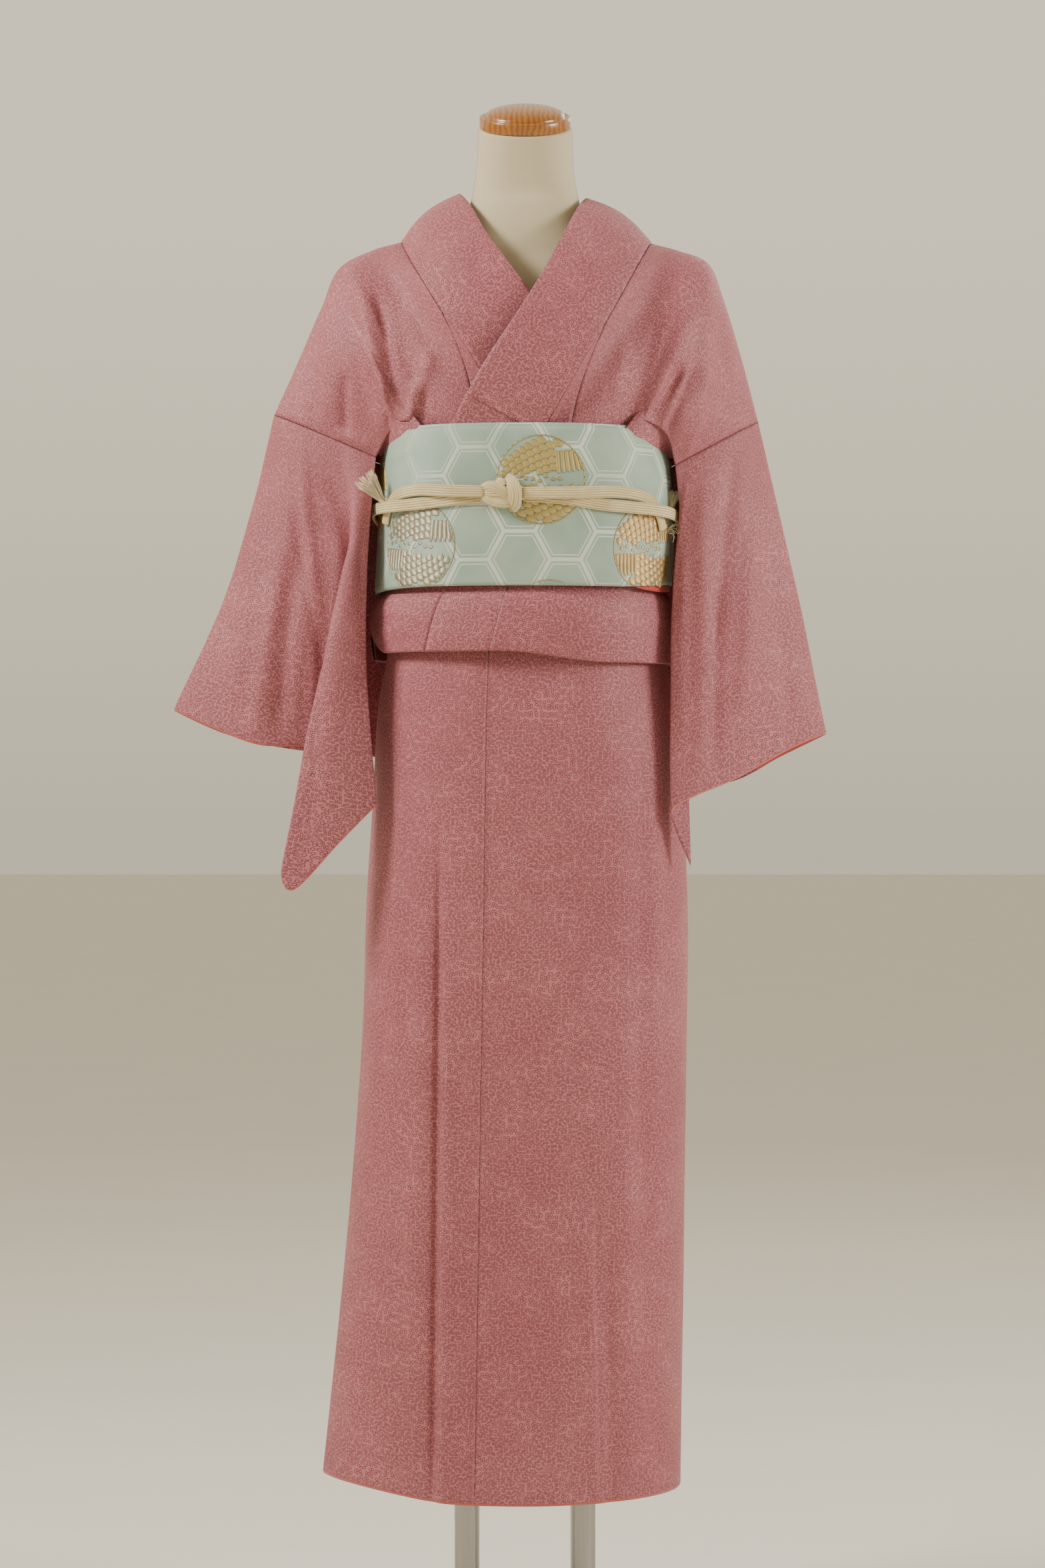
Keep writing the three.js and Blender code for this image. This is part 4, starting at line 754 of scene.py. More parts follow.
def tuck_low(angle):
    corner = 22 * smooth(66, 84, -angle)
    return 993.5 + corner - 10.5 * smooth(-10, 40, angle) + 5 * smooth(100, 180, angle)


def tuck_place(low, w):
    bend = TUCK_THICK / 2
    turn = np.pi * np.clip(w - 1, 0, 1)
    z = np.where(w <= 1, mix(TUCK_TOP, low + bend, w), low + bend - bend * np.sin(turn))
    z = np.where(w >= 2, mix(low + bend, TUCK_TOP, w - 2), z)
    inset = np.where(w <= 1, 0, np.where(w >= 2, TUCK_THICK, bend - bend * np.cos(turn)))
    return z, inset


def tuck_angle(start, end, z, u):
    """The angle at the share u from one edge of a tuck panel to the other, at height z."""
    rise = 0.5 - (TUCK_TOP - z) / TUCK_TALL
    low, high = (edge + TUCK_SLANT * rise * (edge in TUCK_SEAMS) for edge in (start, end))
    return mix(low, high - PANEL_GAP, u)


def tuck_shown(points, u, w):
    """1 where the tuck is in sight, 0 under the sash and inside the fold."""
    return smooth(0.28, 0.5, w) * (1 - smooth(1.0, 1.6, w))


def build_tuck():
    down = np.concatenate([np.linspace(0, 1, 26), np.linspace(1.12, 2, 8), np.linspace(2.1, 3, 8)])
    for k, (name, start, end, columns, flat) in enumerate(TUCK_PANELS):

        def at(u, w, start=start, end=end):
            z, inset = tuck_place(tuck_low(tuck_angle(start, end, TUCK_MIDDLE, u)), w)
            return ring_point(sizes_at(TUCK, z), tuck_angle(start, end, z, u), inset)

        x, y, _ = at(np.array([0.5]), np.array([0.5]))[0]
        relief = fold_relief(TUCK_FINE, TUCK_FINE, 0.45, 30.0, 1.3 * k, tuck_shown)
        piece = shell(
            name + "_cloth", at, np.linspace(0, 1, columns), down, TUCK_WALL, [-x, -y, 0], [SILK, SILK],
            (0.5, 0.5), relief=relief, stands_for=[name], offset=(211 * k, 90 + 40 * k),
        )


# Sash

SASH = table("z left right front back square", [
    (1222, -138, 133, -120.2, 108, 2.5),
    (1208, -141, 137, -121.5, 110, 2.5),
    (1185, -144, 145, -122.8, 112, 2.5),
    (1137, -146, 148.5, -123.5, 112.5, 2.45),
    (1095, -148, 149, -123.5, 112.5, 2.4),
    (1070, -149.5, 147.5, -122.5, 112, 2.4),
    (1050, -150, 147, -121, 112, 2.4),
])


def on_sash(angle, z, out=0.0):
    return ring_point(sizes_at(SASH, z), angle, -np.asarray(out, float))


TURN = np.linspace(-180, 180, 1441)
LOOP = on_sash(TURN, np.full(TURN.shape, 1137.0))
ROUND = np.concatenate([[0], np.cumsum(np.linalg.norm(np.diff(LOOP, axis=0), axis=1))])
ROUND = ROUND - np.interp(0, TURN, ROUND)


def round_of(angle):
    """Millimetres round the sash from the middle of its front."""
    return np.interp((np.asarray(angle, float) + 180) % 360 - 180, TURN, ROUND)


def angle_of(distance):
    return np.interp(distance, ROUND, TURN)


def under_sash(x, z, inset):
    row = sizes_at(SASH, np.array([float(z)]))
    hidden = 2 * OBI + WRAP_GAP + inset
    half = float((-row["left"] if x < 0 else row["right"])[0]) - hidden
    deep = float(-row["front"][0]) - hidden
    n = float(row["square"][0])
    return -deep * (1 - (abs(x) / half) ** n) ** (1 / n)


def sash_point(angle, v, inset=0.0, raised=0.0):
    turned = (np.asarray(angle, float) + 180) % 360 - 180
    side = np.abs(turned)
    top = OBI_HIGH - 8 * smooth(62, 92, side) + 6 * smooth(110, 160, side)
    low = OBI_LOW + 6 * smooth(40, 90, turned) - 3 * smooth(40, 90,
                                                            -turned) * (1 - smooth(100, 150, -turned))
    return ring_point(sizes_at(SASH, mix(top + raised, low, v)), turned, inset)


def build_sash():
    around = 300
    down = np.linspace(0, 1, 46)
    rim = 0.7 * (1 - smooth(0, 0.01, np.minimum(down, 1 - down)))
    deep = np.concatenate([rim, (OBI - rim)[::-1]])
    high = np.concatenate([down, down[::-1]])
    angles = 360.0 * np.arange(around) / around
    for name, inset, raised in (("obi_wrap_second", 0.0, 0.0),
                                ("obi_wrap_first", OBI + WRAP_GAP, OBI_PEEK)):
        rings = []
        for angle in angles:
            point = sash_point(np.full(deep.shape, angle), high, inset + deep, raised)
            if inset == 0:
                sag = np.clip(ripple(point, 34.0, 0.3, 2.0) * (deep < OBI / 2), 0, 0.4)
                sag = sag * smooth(0, 0.06, np.minimum(high, 1 - high))
                point = point - unit(point * np.array([1, 1, 0])) * sag[:, None]
            rings.append(point)
        rings = np.array(rings)
        uv = np.stack([round_of(np.repeat(angles, len(deep))), rings[:, :, 2].ravel()], -1)
        piece = sweep(name + "_band", rings, SASH_PAIR, True, [name], uv)


DRUM = [
    (112.15, 1168), (112.15, 1196), (113.6, 1222), (124, 1243), (148, 1250), (172, 1243), (185, 1220),
    (190, 1160),
    (189, 1080), (182, 1010), (172, 975), (162, 966), (153, 974), (150, 1000), (147.2, 1050), (146.6, 1128),
]
DRUM_HALF = 152
TAIL = [(146.1, 1096), (146.4, 1040), (146, 990), (139, 950), (132, 908)]
HAND = {"half": 166, "low": 1102, "high": 1172, "front": 150, "thick": 5}


def band_at(path, half):
    def at(u, v):
        y, z = through(np.array([(0, *p) for p in path], float), v)[:, 1:].T
        sag, bow = 3 * (1 - u * u), 5 * (1 - np.abs(u) ** 2.5)
        out = smooth(118, 150, y)
        return np.stack([half * u, y + (bow - 5) * out, z + (sag - 3) * out], -1)

    return at


def laid_from(x, y, tall):
    """Where the print lies on a piece of the bow: by its width, and by its own length."""
    return lambda u, v, points: np.stack([points[:, 0] + x, y + tall * v], -1)


def build_bow():
    drum = band_at(DRUM, DRUM_HALF)
    soft = fold_relief([], [(-60, 1180, -20, 1060, 0.8, 14), (60, 1190, 90, 1090, -0.7, 12)], 0.5, 70.0,
                       3.0)

    def relief(points, u, v):
        return np.clip(-soft(points, u, v), -0.9, 0) * smooth(0.3, 0.4, v) * (1 - smooth(0.6, 0.66, v))

    piece = shell(
        "obi_drum_band", drum, np.linspace(-1, 1, 70), np.linspace(0, 1, 180), 3, [0, -1, 0], SASH_PAIR,
        (0, 0.55), relief=relief, uv_from=laid_from(40, 1000, 780), stands_for=["obi_drum"],
        inner_material=0,
    )
    piece = shell(
        "obi_tail_band", band_at(TAIL, DRUM_HALF - 1), np.linspace(-1, 1, 60), np.linspace(0, 1, 46), 3,
        [0, -1, 0], SASH_PAIR, uv_from=laid_from(90, 1400, 190), stands_for=["obi_tail"],
        inner_material=0,
    )
    half, low, high, front, thick = HAND.values()
    a = np.linspace(0, 2 * np.pi, 48, endpoint=False)
    c, s = np.cos(a), np.sin(a)
    rings = []
    for i in range(61):
        x = mix(-half, half, i / 60)
        slim = 1 - 0.25 * (abs(x) / half) ** 12
        tall = np.sign(s) * np.minimum(np.abs(s) * 1.25, 1) ** 0.6 * (high - low) / 2
        z = (low + high) / 2 + tall * slim ** 0.1
        y = front + thick / 2 + np.sign(c) * np.abs(c) ** 0.35 * thick / 2 * slim
        y = y + 0.25 * np.sin(x / 19.0 + z / 23.0) * (np.abs(c) > 0.5)
        rings.append(np.stack([np.full(a.shape, x), y, z], -1))
    uv = np.vstack(rings)[:, ::2] + [200, 0]
    piece = sweep("obi_hand_band", rings, SASH_PAIR, stands_for=["obi_hand"], uv=uv)


# Round ornaments on the sash: two halves of scale-like feathers, turned about each other, in metal thread


def rounded_cell(start, end, wide, count=7):
    """A long cell with a rounded end."""
    start, end = np.array(start, float), np.array(end, float)
    along = end - start
    side = unit(np.array([-along[1], along[0]])) * wide / 2
    outline = [start + side, start + along * 0.7 + side]
    outline += [start + along * (0.7 + 0.3 * math.cos(a)) - side * math.sin(a)
                for a in np.linspace(-1.2, 1.2, count)]
    return [tuple(p) for p in outline + [start + along * 0.7 - side, start - side]]


def scale_rows(centre, keep):
    """Rows of overlapping scales in rings round a point outside the disc. Each fills up to the row below."""
    cells = []
    step, count = 0.125, 78
    half = math.pi / count
    across = np.linspace(-1, 1, 9)
    for k in range(28):
        low = 0.8 + step * k
        for n in range(count):
            middle = 2 * math.pi * (n + 0.5 * (k % 2)) / count
            outline = [(middle + half * f, low + step * (0.5 + 0.5 * math.sqrt(1 - f * f))) for f in across]
            for f in across[1:-1][::-1]:
                dip = math.sqrt(1 - (1 - abs(f)) ** 2)
                outline.append((middle + half * f, low + 0.5 * step * (dip - 1)))
            points = [(centre[0] + r * math.cos(a), centre[1] + r * math.sin(a)) for a, r in outline]
            u, w = np.mean(points, axis=0)
            if math.hypot(u, w) < 0.93 and keep(u, w):
                cells.append(points)
    return cells


def ornament_cells():
    """A disc of scales in two halves, with long feathers at one side of each and an open band between."""
    cells = scale_rows((-1.35, -1.6), lambda u, w: w > 0.13 and not (u > 0.36 and w < 0.66))
    cells += scale_rows((1.3, 1.65), lambda u, w: w < -0.17 and not (u < -0.4 and w > -0.62))
    for k in range(6):
        u = 0.4 + 0.1 * k
        reach = 0.93 * math.sqrt(1 - u * u)
        cells.append(rounded_cell((u, min(0.6, reach)), (u + 0.015 * k, 0.1 + 0.01 * k), 0.088))
        cells.append(rounded_cell((-u, -0.12), (-u, -min(0.6, reach)), 0.088))
    for k in range(9):
        u = -0.78 + 0.15 * k
        w = 0.02 + 0.05 * math.sin(2.3 * k)
        cells.append([(u - 0.05, w - 0.03), (u, w - 0.05), (u + 0.05, w - 0.01), (u + 0.02, w + 0.03),
                      (u - 0.04, w + 0.02)])
    rim = []
    for cell in cells:
        flat = np.array(cell)
        far = np.linalg.norm(flat, axis=1)[:, None]
        rim.append(np.where(far > 0.97, flat / np.maximum(far, 1e-6) * 0.97, flat))
    for k in range(40):
        a0, a1 = 2 * math.pi * k / 40, 2 * math.pi * (k + 0.9) / 40
        turns = np.linspace(a0, a1, 4)
        outer = [(math.cos(a), math.sin(a)) for a in turns]
        inner = [(0.972 * math.cos(a), 0.972 * math.sin(a)) for a in turns[::-1]]
        rim.append(np.array(outer + inner))
    return rim


CELLS = ornament_cells()


def roundel(name, surface, s0, z0, radius, material, turn, keep=None):
    """One ornament. surface(s, z, out) is the place on the cloth, out millimetres above it."""
    points, faces, index = [], [], []
    spin = math.radians(turn)
    for cell in CELLS:
        flat = np.array(cell) @ np.array([[math.cos(spin), math.sin(spin)],
                                          [-math.sin(spin), math.cos(spin)]])
        flat = flat * radius
        if keep is not None and not keep(s0 + flat[:, 0], z0 + flat[:, 1]):
            continue
        middle = flat.mean(0)
        away = flat - middle
        far = np.linalg.norm(away, axis=1)[:, None]
        base = sum(len(p) for p in points)
        for less, out in ((-0.3, -0.15), (-0.3, 0.05), (0.2, 0.14), (0.8, 0.5)):
            ring = middle + away * np.maximum((far - less) / np.maximum(far, 1e-6), 0.15)
            points.append(surface(s0 + ring[:, 0], z0 + ring[:, 1], out))
        m = len(flat)
        for level in (0, 1, 2):
            for k in range(m):
                n = (k + 1) % m
                low, high = base + level * m, base + (level + 1) * m
                faces.append([low + k, low + n, high + n, high + k])
                index.append(1 if level < 2 else 0)
        faces.append([base + 3 * m + k for k in range(m)])
        faces.append([base + k for k in range(m)][::-1])
        index += [0, 1]
    return make_mesh(name, np.vstack(points), faces, [material, THREAD_EDGE], index, None)


def build_roundels():
    def front(s, z, out):
        return on_sash(angle_of(s), np.clip(z, OBI_LOW + 1, OBI_HIGH - 1), out)

    def on_band(s, z):
        return bool(OBI_LOW + 2 < np.mean(z) < OBI_HIGH - 2)

    radius = 43.5
    for name, s, z, material, turn in (
        ("roundel_front_gold", 15.5, 1159, GOLD, 4), ("roundel_front_silver", -112, 1097, SILVER, -6),
        ("roundel_front_copper", 131, 1095, COPPER, 3), ("roundel_low", 24, 1019, SILVER, 8),
        ("roundel_side_right", -205, 1155, GOLD, -10), ("roundel_side_left", 228, 1165, SILVER, 6),
    ):
        roundel(name, front, s, z, radius, material, turn, on_band)
    drum = band_at(DRUM, DRUM_HALF)
    runs = np.linspace(5.2 / 15, 9.6 / 15, 200)
    line = drum(np.zeros(200), runs)

    def back(x, z, out):
        v = np.interp(-z, -line[:, 2], runs)
        return drum(x / DRUM_HALF, v) + np.array([0, out, 0])

    for name, x, z, material, turn in (
        ("roundel_drum_gold", -34, 1152, GOLD, 5), ("roundel_drum_silver", 74, 1082, SILVER, -8),
        ("roundel_drum_low", -96, 1056, COPPER, 12),
    ):
        roundel(name, back, x, z, radius, material, turn)


# Collar

UNDER_DEEP = 6


def sashed(x, z, inset):
    return (x, under_sash(x, z, inset), z)


STATIONS = [  # inner edge, outer edge, crown
    (sashed(-84, 1193, 1.5), sashed(-2, 1184, 1.5), 6.2),
    (sashed(-73, 1213, 1), sashed(6, 1194, 1.4), 5),
    ((-57, -117, 1242.5), sashed(14, 1204, 3), 2),
    ((-37, -122, 1277), (32.5, -118.5, 1234), 2.5),
    ((-7.5, -118, 1322), (56.5, -118, 1276), 3),
    ((16, -104.5, 1361), (81, -106.5, 1318), 4),
    ((35.3, -82, 1398.6), (103, -78, 1360), 5),
    ((52, -42, 1435), (121, -34, 1396), 6),
    ((63, 5, 1451.5), (125.5, 12, 1407.5), 7),
    ((63, 52, 1441), (108, 68, 1394), 5),
    ((38, 91, 1423), (58, 111, 1371), 3),
    ((0, 104, 1415), (0, 126, 1361), 2),
    ((-38, 91, 1423), (-58, 111, 1371), 3),
    ((-65, 52, 1443), (-108, 68, 1395), 5),
    ((-66.6, 5, 1455.8), (-123, 12, 1410), 7),
    ((-54, -38, 1438), (-117.5, -36, 1391), 6),
    ((-37.8, -70, 1406), (-102.5, -76, 1362), 5),
    ((-17, -92, 1375), (-83, -98, 1328), 4),
    ((7, -104, 1341), (-60, -109, 1294), 2),
    ((32, -105.5, 1303), (-37, -110, 1256), 1),
    ((50, -104, 1273), (-20, -108.5, 1226), 2),
    ((67, -101, 1240), sashed(-5, 1199, UNDER_DEEP), 3),
    (sashed(84, 1208, 8.5), sashed(6, 1188, UNDER_DEEP), 4),
]
INNER = np.array([row[0] for row in STATIONS], float)
OUTER = np.array([row[1] for row in STATIONS], float)
CROWN = np.array([[row[2]] for row in STATIONS], float)
SPACING = len(STATIONS) - 1
OVER_ENDS = (2 / SPACING, 0.873)
COLLAR_EDGE = {"left": (1, 8, 11),
               "right": (21, 14, 11)}  # stations at the sash, the shoulder and the centre back
NECKLINE = 0.45


def beside_collar(side, v):
    sash, shoulder, back = (k / SPACING for k in COLLAR_EDGE[side])
    return np.where(v <= 0, mix(shoulder, sash, -v), mix(shoulder, back, v / NECKLINE))


def collar_normal(along, across):
    h = 1e-3

    def at(t):
        return through(INNER, t) * (1 - across[:, None]) + through(OUTER, t) * across[:, None]

    return unit(np.cross(through(OUTER, along) - through(INNER, along), at(along + h) - at(along - h)))


def collar_point(along, across, lift=0.0):
    along, across = np.asarray(along, float), np.asarray(across, float)
    crown = through(CROWN, along)[:, 0]
    arch = crown * np.sin(np.pi * np.clip(across, 0, 1))
    point = mix(through(INNER, along), through(OUTER, along), across[:, None])
    return point + collar_normal(along, across) * (arch + lift)[:, None]


def build_collar():
    across = np.linspace(0, 1, 22)

    def under(u, v):
        return collar_point(u, v, -(OVER_COLLAR + SEAM))

    def facing(u, v, found):
        return -collar_normal(u, v)

    def soft(points, u, v):
        return ripple(points, 36.0, 0.35, 4.0) * np.sin(np.pi * np.clip(v, 0, 1))

    piece = shell(
        "collar_cloth", under, np.linspace(0, 1, 300), across, COLLAR, [0, -1, -0.5], [SILK, SILK],
        normal_of=facing, relief=soft, stands_for=["collar"], offset=(33, 700),
    )
    piece = shell(
        "over_collar_cloth", collar_point, np.linspace(*OVER_ENDS, 260), across, OVER_COLLAR, [0, -1, -0.5],
        [SILK, SILK], normal_of=facing, relief=soft, stands_for=["over_collar"], offset=(400, 777),
    )


# Sleeves and bodice

SEAMS = {
    "right": {"front": (-147, -53, 1187), "fold": (-251, 0, 1233), "back": (-142, 60, 1188), "round": 26},
    "left": {"front": (148, -58, 1179), "fold": (233.5, 0, 1226), "back": (146, 60, 1186), "round": 26},
}
SLEEVE_LINES = {  # place on the seam, then the line's upper, lower and bottom points
    "right": [
        (-1, (-154.5, -66, 1083), (-155, -74, 972), (-145, -76, 846)),
        (-0.945, (-166, -73, 1081), (-181, -88, 955), (-182, -86, 808)),
        (-0.89, (-174, -73, 1080), (-201, -86, 945), (-226, -81, 763)),
        (-0.85, (-177.5, -68, 1079), (-206.5, -80, 941), (-237.5, -77, 787)),
        (-0.78, (-173, -59, 1086), (-194, -66, 958), (-204, -60, 850)),
        (-0.71, (-166, -50, 1090), (-172, -48, 985), (-177, -42, 893)),
        (-0.6, (-185, -50, 1097), (-200, -49, 995), (-218, -46, 903)),
        (-0.42, (-211, -45, 1110), (-234, -51, 1008), (-262, -46, 905)),
        (-0.2, (-243, -34, 1124), (-270, -38, 1020), (-305, -30, 920)),
        (0, (-274, 0, 1135), (-306, 0, 1038), (-351, 0, 940)),
        (0.25, (-242, 35, 1122), (-268, 40, 1014), (-302, 34, 917)),
        (0.6, (-198, 52, 1102), (-213, 58, 1000), (-238, 54, 902)),
        (1, (-139, 72, 1077), (-139, 78, 978), (-140, 77, 893)),
    ],
    "left": [
        (-1, (158, -51, 1066), (158, -59, 950), (162, -63, 786)),
        (-0.93, (147.5, -59, 1066), (145.5, -68, 952), (146, -72, 824)),
        (-0.86, (146.5, -67, 1067), (144, -77, 955), (144, -80, 841)),
        (-0.66, (166, -66, 1085), (167, -76, 968), (168, -73, 855)),
        (-0.4, (192, -56, 1100), (201, -66, 985), (207, -54, 871)),
        (-0.17, (224, -36, 1117), (240, -42, 1010), (263, -28, 901)),
        (0, (256, 0, 1130), (278, 0, 1030), (301.5, 0, 916.5)),
        (0.25, (224, 36, 1115), (238, 44, 1004), (258, 34, 894)),
        (0.6, (193, 54, 1098), (200, 62, 984), (210, 54, 869)),
        (1, (139, 72, 1077), (139, 78, 972), (141, 77, 861)),
    ],
}
SLEEVE_FOLDS = {
    "right": {
        "front": [
            (-228, 1090, -243, 915, -4.4, 10), (-221, 1190, -204, 985, 2.6, 7),
            (-262, 1150, -292, 950, 2.6, 11),
            (-226, 1125, -200, 980, -2.6, 6), (-182, 1120, -197, 820, 1.8, 8),
            (-160, 1110, -166, 880, -1.6, 5),
            (-208, 1010, -214, 840, 1.4, 6), (-246, 1060, -268, 915, 1.6, 7),
            (-196, 1180, -168, 1080, -1.8, 8),
        ],
        "back": [
            (-180, 1160, -174, 930, -1.8, 9), (-222, 1180, -238, 920, 1.6, 10),
            (-255, 1140, -284, 930, -1.4, 9),
            (-204, 1080, -206, 920, 1.0, 7),
        ],
    },
    "left": {
        "front": [
            (228, 1132, 214, 943, 2.8, 9), (206, 1190, 188, 1000, -2.2, 8), (176, 1150, 170, 880, 2.0, 8),
            (244, 1120, 262, 930, -2.2, 8), (190, 1060, 186, 880, -1.7, 6), (156, 1100, 154, 900, 1.2, 5),
        ],
        "back": [
            (172, 1150, 168, 900, -1.6, 9), (206, 1170, 214, 900, 1.6, 10), (236, 1130, 250, 930, -1.3, 8),
            (188, 1060, 188, 890, 1.0, 6),
        ],
    },
}


def seam_point(side, w):
    seam = SEAMS[side]
    w = np.asarray(w, float)
    front, back, fold = (np.array(seam[k], float) for k in ("front", "back", "fold"))
    end = np.where((w < 0)[:, None], front, back)
    turn = np.stack([np.full(w.shape, fold[0]), np.sign(end[:, 1]) * seam["round"],
                     np.full(w.shape, fold[2] + 1)], -1)
    near = mix(end, fold, 0.4)
    inwards = mix(near, np.stack([near[:, 0], end[:, 1], near[:, 2]], -1), 0.6)
    return bezier(np.broadcast_to(fold, end.shape), turn, inwards, end, np.abs(w))


def sleeve_point(side, s, t):
    lines = SLEEVE_LINES[side]
    s, t = np.asarray(s, float), np.asarray(t, float)
    last = len(lines) - 1
    starts = seam_point(side, np.array([row[0] for row in lines], float))
    rows = []
    for k, (_, upper, lower, bottom) in enumerate(lines):
        rows.append(through(np.array([starts[k], upper, lower, bottom], float), t))
    i = np.clip(np.floor(s).astype(int), 0, last - 1)
    at = np.array([row[0] for row in lines], float)
    exact = seam_point(side, np.clip(mix(at[i], at[i + 1], s - i), -1, 1))
    shift = exact - through(starts, s / last)
    return through(np.array(rows), s / last) + shift * (np.maximum(1 - t, 0) ** 3)[:, None]


def seam_normal(side, w):
    at = np.array([row[0] for row in SLEEVE_LINES[side]], float)
    last = len(at) - 1
    s = np.interp(w, at, np.arange(last + 1))
    s = np.clip(s, 0.02, last - 0.02)
    found = normal_at(lambda a, b: sleeve_point(side, a, b), s, np.full(s.shape, 0.01))
    return found * (-1 if side == "right" else 1)


SILK_FACED = 0.42  # from this share of the way round the sleeve, silk faces the inside


def build_sleeve(side):
    lines = SLEEVE_LINES[side]
    last = len(lines) - 1
    seam = SEAMS[side]
    start = SEAM / np.linalg.norm(np.array(lines[2][1], float) - np.array(seam["front"], float)) / 3
    across = np.linspace(0, last, 16 * last + 1)
    down = np.concatenate([[start], np.linspace(0.012, 0.985, 88), [0.993, 1.0]])
    fold = next(k for k, row in enumerate(lines) if row[0] == 0)

    def at(s, t):
        return sleeve_point(side, s, t)

    def place_of(s):
        return np.interp(s, np.arange(last + 1), [float(row[0]) for row in lines])

    def normal_of(s, t, found):
        return np.where((t <= start)[:, None], seam_normal(side, place_of(s)), found)

    def faced(s, t):
        return np.abs(place_of(s)) > SILK_FACED

    folds = SLEEVE_FOLDS[side]
    relief = fold_relief(folds["front"], folds["back"], 0.5, 40.0, 5.0 if side == "right" else 8.0)
    inward = [1 if side == "right" else -1, 0, 0]
    piece = shell(f"sleeve_{side}_cloth", at, across, down, CLOTH, inward, KIMONO, (fold, 0.5), normal_of,
                  relief,
                  fringe=1.6, stands_for=[f"sleeve_{side}"], offset=(50 if side == "right" else 900, 300),
                  hung=True, faced=faced)


BODICE = {  # ridge, front end, back end, reach, rise, swell
    "left": [
        ((154, 4, 1399), sashed(57, 1197, 4), (50, 108, 1214), 50, 88, 6),
        ((184, 2, 1385.5), sashed(98, 1213, 3.4), (94, 96, 1216), 56, 84, 9),
        ((199, 0, 1350), (117, -85, 1219.5), (118, 84, 1222), 52, 62, 9),
        ((216, 0, 1293), (138.5, -71, 1207), (132, 72, 1208), 40, 36, 9),
    ],
    "right": [
        ((-154, 4, 1399), sashed(-57, 1197, 9), (-50, 108, 1214), 50, 88, 3),
        ((-187, 2, 1380), sashed(-98, 1213, 7), (-94, 96, 1216), 56, 84, 6),
        ((-204, 0, 1341), (-119, -81, 1219.5), (-118, 84, 1222), 52, 62, 9),
        ((-225, 0, 1292), (-134, -62, 1209), (-130, 72, 1206), 40, 36, 9),
    ],
}
BODICE_CREASES = {
    "left": [
        (160, 1330, 122, 1214, 3.5, 9),
        (152, 1275, 124, 1212, -6, 7),
        (184, 1270, 150, 1205, 4, 9),
    ],
    "right": [
        (-186, 1372, -150, 1225, -5, 11),
        (-166, 1350, -132, 1214, 4, 8),
        (-92, 1285, -115, 1212, 2.6, 7),
        (-142, 1340, -124, 1214, -3, 7),
    ],
}
BODICE_FINE = {
    "right": [
        (-154, 1268, -129, 1207, -2.8, 3.0), (-140.6, 1268, -137, 1236, 1.6, 2.6),
        (-105, 1256, -115, 1213, 2.6, 4.0),
        (-96, 1250, -100, 1214, -1.8, 4.0), (-178, 1268, -178, 1208, -3.2, 5.0),
        (-184, 1213, -154, 1194, 2.6, 4.0),
        (-165, 1354, -98, 1225, 2.4, 6.0), (-172, 1330, -112, 1222, -2.0, 4.0),
        (-200, 1330, -192, 1230, 2.0, 8.0),
        (-120, 1330, -88, 1262, 1.3, 7.0), (-212, 1290, -206, 1226, -1.6, 6.0),
        (-148, 1352, -126, 1262, -1.5, 4.0),
    ],
    "left": [
        (152, 1268, 117, 1215, -4.2, 4.0), (119.5, 1236, 110, 1216, -2.0, 3.0),
        (157, 1184, 166, 1212, 2.2, 5.0),
        (166, 1210, 179, 1244, 2.6, 6.0), (178, 1240, 181, 1368, 2.0, 8.0),
        (140, 1320, 108, 1222, 1.8, 6.0),
        (168, 1280, 138, 1208, -2.2, 4.0), (196, 1330, 190, 1230, -1.6, 7.0),
        (96, 1300, 88, 1230, 1.1, 6.0),
    ],
}
BODICE_BACK = {
    "right": [
        (-150, 1360, -112, 1220, 1.4, 10), (-120, 1340, -86, 1225, -1.2, 9),
        (-180, 1340, -136, 1214, -1.8, 8),
        (-60, 1320, -52, 1226, 0.8, 12), (-198, 1310, -160, 1206, 1.2, 7),
    ],
    "left": [
        (146, 1362, 106, 1220, 1.3, 10), (114, 1336, 80, 1225, -1.0, 9), (178, 1336, 134, 1214, -1.7, 8),
        (50, 1316, 46, 1226, 0.7, 12), (192, 1300, 158, 1206, 1.2, 7),
    ],
}
CENTRE_BACK = (110.5, 1217)
TIP_START = -1 + 8 * 0.9 / 13
TIP_SHARE = 0.14


def bodice_edge(side, v):
    sign = 1 if side == "left" else -1
    along = beside_collar(side, np.minimum(v, NECKLINE))
    edge = collar_point(along, np.ones(along.shape), -(OVER_COLLAR + SEAM))
    edge = edge + unit(through(OUTER, along) - through(INNER, along)) * (SEAM + 0.05)
    t = np.clip((v - NECKLINE) / (1 - NECKLINE), 0, 1)
    bulge = 5 * np.sin(np.pi * t) * (1 - t)
    back, low = CENTRE_BACK
    seam = np.stack([np.full(t.shape, sign * SEAM / 2), mix(edge[:, 1], back, t) + bulge,
                     mix(edge[:, 2], low, t)], -1)
    return np.where((v < NECKLINE - 1e-9)[:, None], edge, seam)


def bodice_station(row, v):
    ridge, front, back = (np.array(p, float) for p in row[:3])
    reach, rise, swell = row[3:]
    end = np.where((v < 0)[:, None], front, back)
    out = np.sign(end[:, 1])
    level = np.stack([mix(ridge[0], end[:, 0], 0.08), ridge[1] + out * reach,
                      np.full(v.shape, ridge[2] - 2)], -1)
    upright = np.stack([mix(end[:, 0], ridge[0], 0.36), end[:, 1] + out * swell, end[:, 2] + rise], -1)
    return bezier(np.broadcast_to(ridge, end.shape), level, upright, end, np.abs(v))


